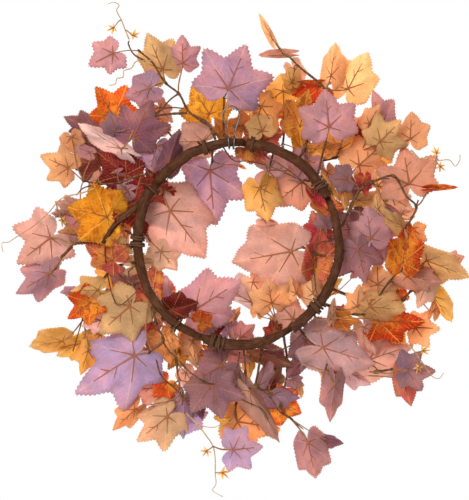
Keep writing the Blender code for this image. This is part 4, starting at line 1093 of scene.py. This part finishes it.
def tube(route, radii, slot, resolution=2):
    """A smooth round tube through points in metres, closed at both ends, as a mesh."""
    curve = bpy.data.curves.new("tube", "CURVE")
    curve.dimensions = "3D"
    curve.twist_mode = "MINIMUM"
    curve.bevel_depth = 1.0
    curve.bevel_resolution = resolution
    curve.use_fill_caps = True
    spline = curve.splines.new("POLY")
    spline.points.add(len(route) - 1)
    for point, where, radius in zip(spline.points, route, radii):
        point.co = (*where, 1.0)
        point.radius = radius
    holder = bpy.data.objects.new("tube", curve)
    mesh = bpy.data.meshes.new_from_object(holder)
    bpy.data.objects.remove(holder)
    bpy.data.curves.remove(curve)
    bm = bmesh.new()
    bm.from_mesh(mesh)
    bmesh.ops.remove_doubles(bm, verts=bm.verts, dist=1e-7)
    bmesh.ops.recalc_face_normals(bm, faces=bm.faces)
    for face in bm.faces:
        face.smooth = True
        face.material_index = slot
    for uv in list(bm.loops.layers.uv.values()):
        bm.loops.layers.uv.remove(uv)
    bm.to_mesh(mesh)
    bm.free()
    return mesh


def roughened(mesh, height, scale):
    """Pushes a mesh's points in and out along their normals by smooth noise."""
    normals = [v.normal.copy() for v in mesh.vertices]
    for v, normal in zip(mesh.vertices, normals):
        where = v.co * scale
        v.co += normal * (noise.noise(where) * height + noise.noise(where * 2.7) * height * 0.4)
    return mesh


def plain_part(mesh):
    """A mesh whose finish doesn't use the painted colours."""
    grey = painted(len(mesh.vertices), (0.2, 0.2, 0.2))
    return mesh, grey, grey


# ---------------------------------------------------------------- pieces

def assemble(name, parts, materials):
    """Joins the parts' meshes into one piece, with their colours."""
    bm = bmesh.new()
    for mesh, _, _ in parts:
        bm.from_mesh(mesh)
    made = bpy.data.meshes.new(name)
    bm.to_mesh(made)
    bm.free()
    for title, which in (("paint", 1), ("paint_two", 2)):
        layer = made.color_attributes.new(title, "FLOAT_COLOR", "POINT")
        layer.data.foreach_set("color", np.concatenate([part[which] for part in parts]).ravel())
    for mesh, _, _ in parts:
        bpy.data.meshes.remove(mesh)
    for material in materials:
        made.materials.append(material)
    piece = bpy.data.objects.new(name, made)
    bpy.context.scene.collection.objects.link(piece)
    return piece


def finish_piece(piece, node):
    """Puts a piece in the place of its node, on the node's own body if that moves."""
    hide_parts(node)
    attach(piece, node if node in frame["bodies"] else "wreath")


def knuckle(where, along, radius, slot):
    """The swollen joint of a moulded stem, where stalks leave it."""
    steps = [-2.2, -1.5, -0.7, 0.0, 0.7, 1.5, 2.2]
    route = [where + along * (radius * s) for s in steps]
    radii = [radius * math.sqrt(max(0.05, 1.35 - (s / 2.3) ** 2)) * 1.05 for s in steps]
    return tube(route, radii, slot, 2)


def wandered(spot):
    """How far a spray's stem strays at a point, as a hand-bent stem does."""
    return Vector((noise.noise(spot * 55), noise.noise(spot * 55 + Vector((9, 9, 9))), 0)) * 0.0012


def spray_parts(name, stem, leaves):
    """A spray's stem, knuckles, stalks and leaves, as parts."""
    rng = random.Random(name)
    route = [spot + wandered(spot) for spot in plan_route(stem, STEM_STEPS)]
    radii = taper(route, SPRAY_STEM, SPRAY_STEM * 0.62)
    parts = [plain_part(roughened(tube(route, radii, BARK), 0.00022, TWIG_GRAIN))]
    for index in sorted({leaf[0] for leaf in leaves}):
        at = min(index * STEM_STEPS, len(route) - 1)
        parts.append(plain_part(knuckle(route[at], heading(route, at), radii[at] * 1.25, BARK)))
    for index, *leaf in leaves:
        at = min(index * STEM_STEPS, len(route) - 1)
        parts += leaf_with_stalk(route[at], heading(route, at), *leaf, rng)
    return parts


def blank_and_stalk(length):
    """Which blank a leaf is cut from, and its stalk's radius in millimetres."""
    if length < SMALL_LEAF:
        return "small", 0.75
    return "medium" if length < LARGE_LEAF else "large", 0.95 if length < MIDDLE_LEAF else 1.15


def leaf_with_stalk(start, ahead, hub, tip, width, deep, face, colour, rng):
    """A leaf and the bent stalk that joins it to a stem's point, as parts."""
    length = math.dist(hub, tip)
    size, thin = blank_and_stalk(length)
    if colour == "leaflet":
        size = "leaflet"
    part, joint, along, out = leaf_part(BLANKS[size], hub, tip, width, deep, face, colour, rng)
    toward = (joint - start).normalized()
    arriving = (toward + along * 0.7).normalized() if toward.dot(along) > -0.5 else toward
    arriving = (arriving - out * 0.35).normalized()
    leaving = (toward + ahead * 0.5).normalized()
    route = bent_route(start, leaving, joint, arriving, 10)
    stalk = plain_part(tube(route, taper(route, thin * 1.15, thin * 0.85), STALK, 1))
    end = plain_part(tube([joint - arriving * STALK_END, joint, joint + along * STALK_END],
                          [thin * share * MM for share in (0.9, 1.25, 0.7)], STALK, 1))
    return [part, stalk, end] if (joint - start).length > SHORTEST_STALK else [part, end]


def add_sprays():
    """Every spray of leaves, in the place of its node."""
    for name, (stem, leaves) in SPRAYS.items():
        finish_piece(assemble(name + "_leaves", spray_parts(name, stem, leaves), LEAF_MATERIALS), name)


def add_tendrils():
    """The thin curling tendrils, with their side curls and leaflets."""
    for name, (stem, leaves) in TENDRILS.items():
        rng = random.Random(name)
        route = plan_route(stem, TENDRIL_STEPS)
        parts = [plain_part(tube(route, taper(route, 0.95, 0.42), VINE, 2))]
        for curl in TENDRIL_CURLS.get(name, []):
            side = plan_route(curl, 6)
            parts.append(plain_part(tube(side, taper(side, 0.7, 0.35), VINE, 1)))
        for index, *leaf in leaves:
            at = min(index * TENDRIL_STEPS, len(route) - 1)
            parts += leaf_with_stalk(route[at], heading(route, at), *leaf, rng)
        finish_piece(assemble(name + "_vine", parts, LEAF_MATERIALS), name)


# ---------------------------------------------------------------- ring, bindings and loop

def stem_radii(route, shares, rng):
    """A ring stem's radii: its own taper, with the swollen nodes of a vine along it."""
    nodes = [rng.uniform(0.012, 0.03)]
    while nodes[-1] < LONGEST_STEM:
        nodes.append(nodes[-1] + rng.uniform(0.026, 0.055))
    length = 0.0
    radii = []
    for before, where, share in zip([route[0]] + route, route, shares):
        length += (where - before).length
        swell = sum(math.exp(-((length - at) / NODE_REACH) ** 2) for at in nodes)
        radii.append(STEM_RADIUS * MM * share ** 1.6 * (0.97 + 0.07 * swell))
    return radii


def add_ring_stems():
    """The five moulded stems that make the ring."""
    for name, stations in RING_STEMS.items():
        points = [on_ring(clock, RING_RADIUS + off, UNDER_DEEP if low else RING_DEEP)
                  for clock, off, low, _ in stations]
        route = plan_route(smooth_route(points, 3), 6)
        shares = smooth_shares(smooth_shares([share for *_, share in stations], 3), 6)
        radii = stem_radii(route, shares, random.Random(name))
        first = route[0] - (route[1] - route[0]).normalized() * BLUNT_END
        last = route[-1] + (route[-1] - route[-2]).normalized() * BLUNT_END
        radii = [radii[0] * 0.86] + radii + [radii[-1] * 0.86]
        mesh = roughened(tube([first] + route + [last], radii, 0, 6), 0.0008, BARK_GRAIN)
        finish_piece(assemble(name + "_bark", [plain_part(mesh)], [RING_BARK]), name)


def tie_route(clock, turns, radius_off, share, doubled, points):
    """The centre line of a binding: turns round one stem, or round a stem and the end under it."""
    stretch = UNDER_DEEP - RING_DEEP if doubled else 0.0
    reach = STEM_RADIUS * share + TIE_WIRE + GAP * 0.6
    middle = RING_DEEP + stretch / 2
    route = []
    for step in range(round(turns * points) + 1):
        turn = step / points
        angle = math.tau * turn + 0.3
        lift = math.sin(angle)
        centre = stretch / 2 * max(-1.0, min(1.0, lift * 3))
        uneven = 0.9 * math.sin(turn * 2.6 + clock) + 0.5 * math.sin(turn * 9.1)
        advance = math.degrees(((turn - turns / 2) * TIE_PITCH + uneven) / RING_RADIUS)
        route.append((clock + advance, RING_RADIUS + radius_off + reach * math.cos(angle),
                      middle + centre + reach * lift))
    return [place(*on_ring(*p)) for p in route]


def tie_strand(route, middle, start):
    """One of the two strands twisted round a binding's centre line."""
    twisted = []
    for i, where in enumerate(route):
        ahead = heading(route, i)
        outward = where - middle
        outward = (outward - ahead * outward.dot(ahead)).normalized()
        other = ahead.cross(outward)
        turn = i * TIE_TWIST + start
        twisted.append(where + (outward * math.cos(turn) + other * math.sin(turn)) * (0.55 * MM))
    return plain_part(tube(twisted, [1.1 * MM] * len(route), 0, 2))


def add_ties():
    """The binding wires round the ring, each two strands twisted together, with tucked ends."""
    for name, tie in TIES.items():
        clock, *_, doubled = tie
        route = tie_route(*tie, 28)
        middle = place(*on_ring(clock, RING_RADIUS, RING_DEEP + (7 if doubled else 0)))
        parts = [tie_strand(route, middle, start) for start in (0, math.pi)]
        for end, before in ((route[0], route[2]), (route[-1], route[-3])):
            away = (end - before).normalized()
            outward = (end - middle).normalized()
            stub = [end - away * 0.001, end + away * 0.0015, end + away * 0.003 - outward * 0.0003]
            parts.append(plain_part(tube(smooth_route(stub, 3), [1.35 * MM] * 7, 0, 2)))
        finish_piece(assemble(name + "_cord", parts, [WRAPPED_WIRE]), name)


def add_hanging_loop():
    """The wire hooks round the ring on both sides and rises to its seat on the hook."""
    reach = STEM_RADIUS + HANGER_WIRE + GAP
    side = []
    for step in range(HOOK_STEPS + 1):
        share = step / HOOK_STEPS
        turn = math.radians(60 + 300 * share)
        side.append((1.5 + 3.0 * share, RING_RADIUS + reach * math.cos(turn),
                     RING_DEEP + reach * math.sin(turn)))
    side += [(across, RING_RADIUS + up, RING_DEEP) for across, up in HANGER_SIDE]
    right = [(HANGER_MIDDLE + across, up, deep) for across, up, deep in side]
    left = [(HANGER_MIDDLE - across, up, deep) for across, up, deep in reversed(side)]
    seat = (HANGER_MIDDLE, HOOK_UP + HANGER_WIRE, RING_DEEP)
    route = plan_route(right + [seat] + left, 5)
    mesh = tube(route, [HANGER_WIRE * MM] * len(route), 0, 4)
    finish_piece(assemble("hanging_loop_wire", [plain_part(mesh)], [HANGER_METAL]), "hanging_loop")


def add_twigs():
    """The loose twigs and wires that run between the sprays."""
    for name, (thick, slot, routes) in TWIGS.items():
        parts = []
        for points in routes:
            route = plan_route(points, 6)
            mesh = tube(route, taper(route, thick, thick * 0.6), slot)
            parts.append(plain_part(roughened(mesh, 0.0002, TWIG_GRAIN)))
        piece = assemble(name, parts, LEAF_MATERIALS)
        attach(piece, "wreath")


# ---------------------------------------------------------------- floor, light and camera

def add_floor():
    """A plain pale round floor, well under the wreath."""
    bpy.ops.mesh.primitive_circle_add(vertices=96, radius=FLOOR_RADIUS, fill_type="NGON",
                                      location=(0, 0, FLOOR_HEIGHT))
    floor = bpy.context.object
    floor.name = "studio_floor"
    n = Nodes("pale_floor")
    n.fixed(Base_Color=(0.86, 0.86, 0.85), Roughness=0.7)
    floor.data.materials.append(n.material)


def add_light(name, where, size, power):
    """A round soft light aimed at the wreath's middle."""
    lamp = bpy.data.lights.new(name, "AREA")
    lamp.shape = "DISK"
    lamp.size = size
    lamp.energy = power
    holder = bpy.data.objects.new(name, lamp)
    holder.location = where
    holder.rotation_mode = "QUATERNION"
    holder.rotation_quaternion = (place(0, 0, 30) - Vector(where)).to_track_quat("-Z", "Y")
    bpy.context.scene.collection.objects.link(holder)


def add_world():
    """Even white light from all round, stronger where the camera looks past the wreath."""
    world = bpy.data.worlds.new("studio")
    world.use_nodes = True
    tree = world.node_tree
    tree.nodes["Background"].inputs["Color"].default_value = (1.0, 1.0, 1.0, 1.0)
    seen = tree.nodes.new("ShaderNodeLightPath")
    strength = tree.nodes.new("ShaderNodeMapRange")
    strength.inputs["To Min"].default_value = AMBIENT
    strength.inputs["To Max"].default_value = 1.0
    tree.links.new(seen.outputs["Is Camera Ray"], strength.inputs["Value"])
    tree.links.new(strength.outputs[0], tree.nodes["Background"].inputs["Strength"])
    bpy.context.scene.world = world
    bpy.context.scene.view_settings.view_transform = "Standard"


def add_camera():
    """The camera stands square to the door side."""
    data = bpy.data.cameras.new("camera")
    data.lens = data.sensor_width * CAMERA_AWAY / PICTURE_HEIGHT
    data.clip_end = 50.0
    camera = bpy.data.objects.new("camera", data)
    middle = place(*PICTURE_MIDDLE, RING_DEEP)
    camera.location = middle + Vector((0, CAMERA_AWAY, 0))
    camera.rotation_euler = (math.pi / 2, 0, math.pi)
    bpy.context.scene.collection.objects.link(camera)
    bpy.context.scene.camera = camera


# ---------------------------------------------------------------- build

BLANKS = {size: make_blank("leaf_blank_" + size, *sizes) for size, sizes in BLANK_SIZES.items()}
LEAF_MATERIALS = [leaf_material("leaf_underside", True), leaf_material("leaf_topside", False), rib_material(),
                  stalk_material("leaf_stalk", (0.21, 0.080, 0.030), (0.39, 0.175, 0.068), 0.5),
                  stalk_material("twig_bark", (0.055, 0.018, 0.006), (0.20, 0.084, 0.033), 0.6),
                  stalk_material("tendril_plastic", (0.36, 0.19, 0.08), (0.55, 0.32, 0.14), 0.45)]
RING_BARK = bark_material()
WRAPPED_WIRE = wrap_material()
HANGER_METAL = hanger_material()

add_ring_stems()
add_ties()
add_hanging_loop()
add_sprays()
add_tendrils()
add_twigs()
add_floor()
add_world()
add_light("door_side_softbox", (0.9, 2.2, 0.9), 1.4, 62.0)
add_light("front_side_softbox", (-0.6, -2.2, 0.9), 1.8, 135.0)
add_camera()

for blank in BLANKS.values():
    bpy.data.meshes.remove(blank["mesh"])
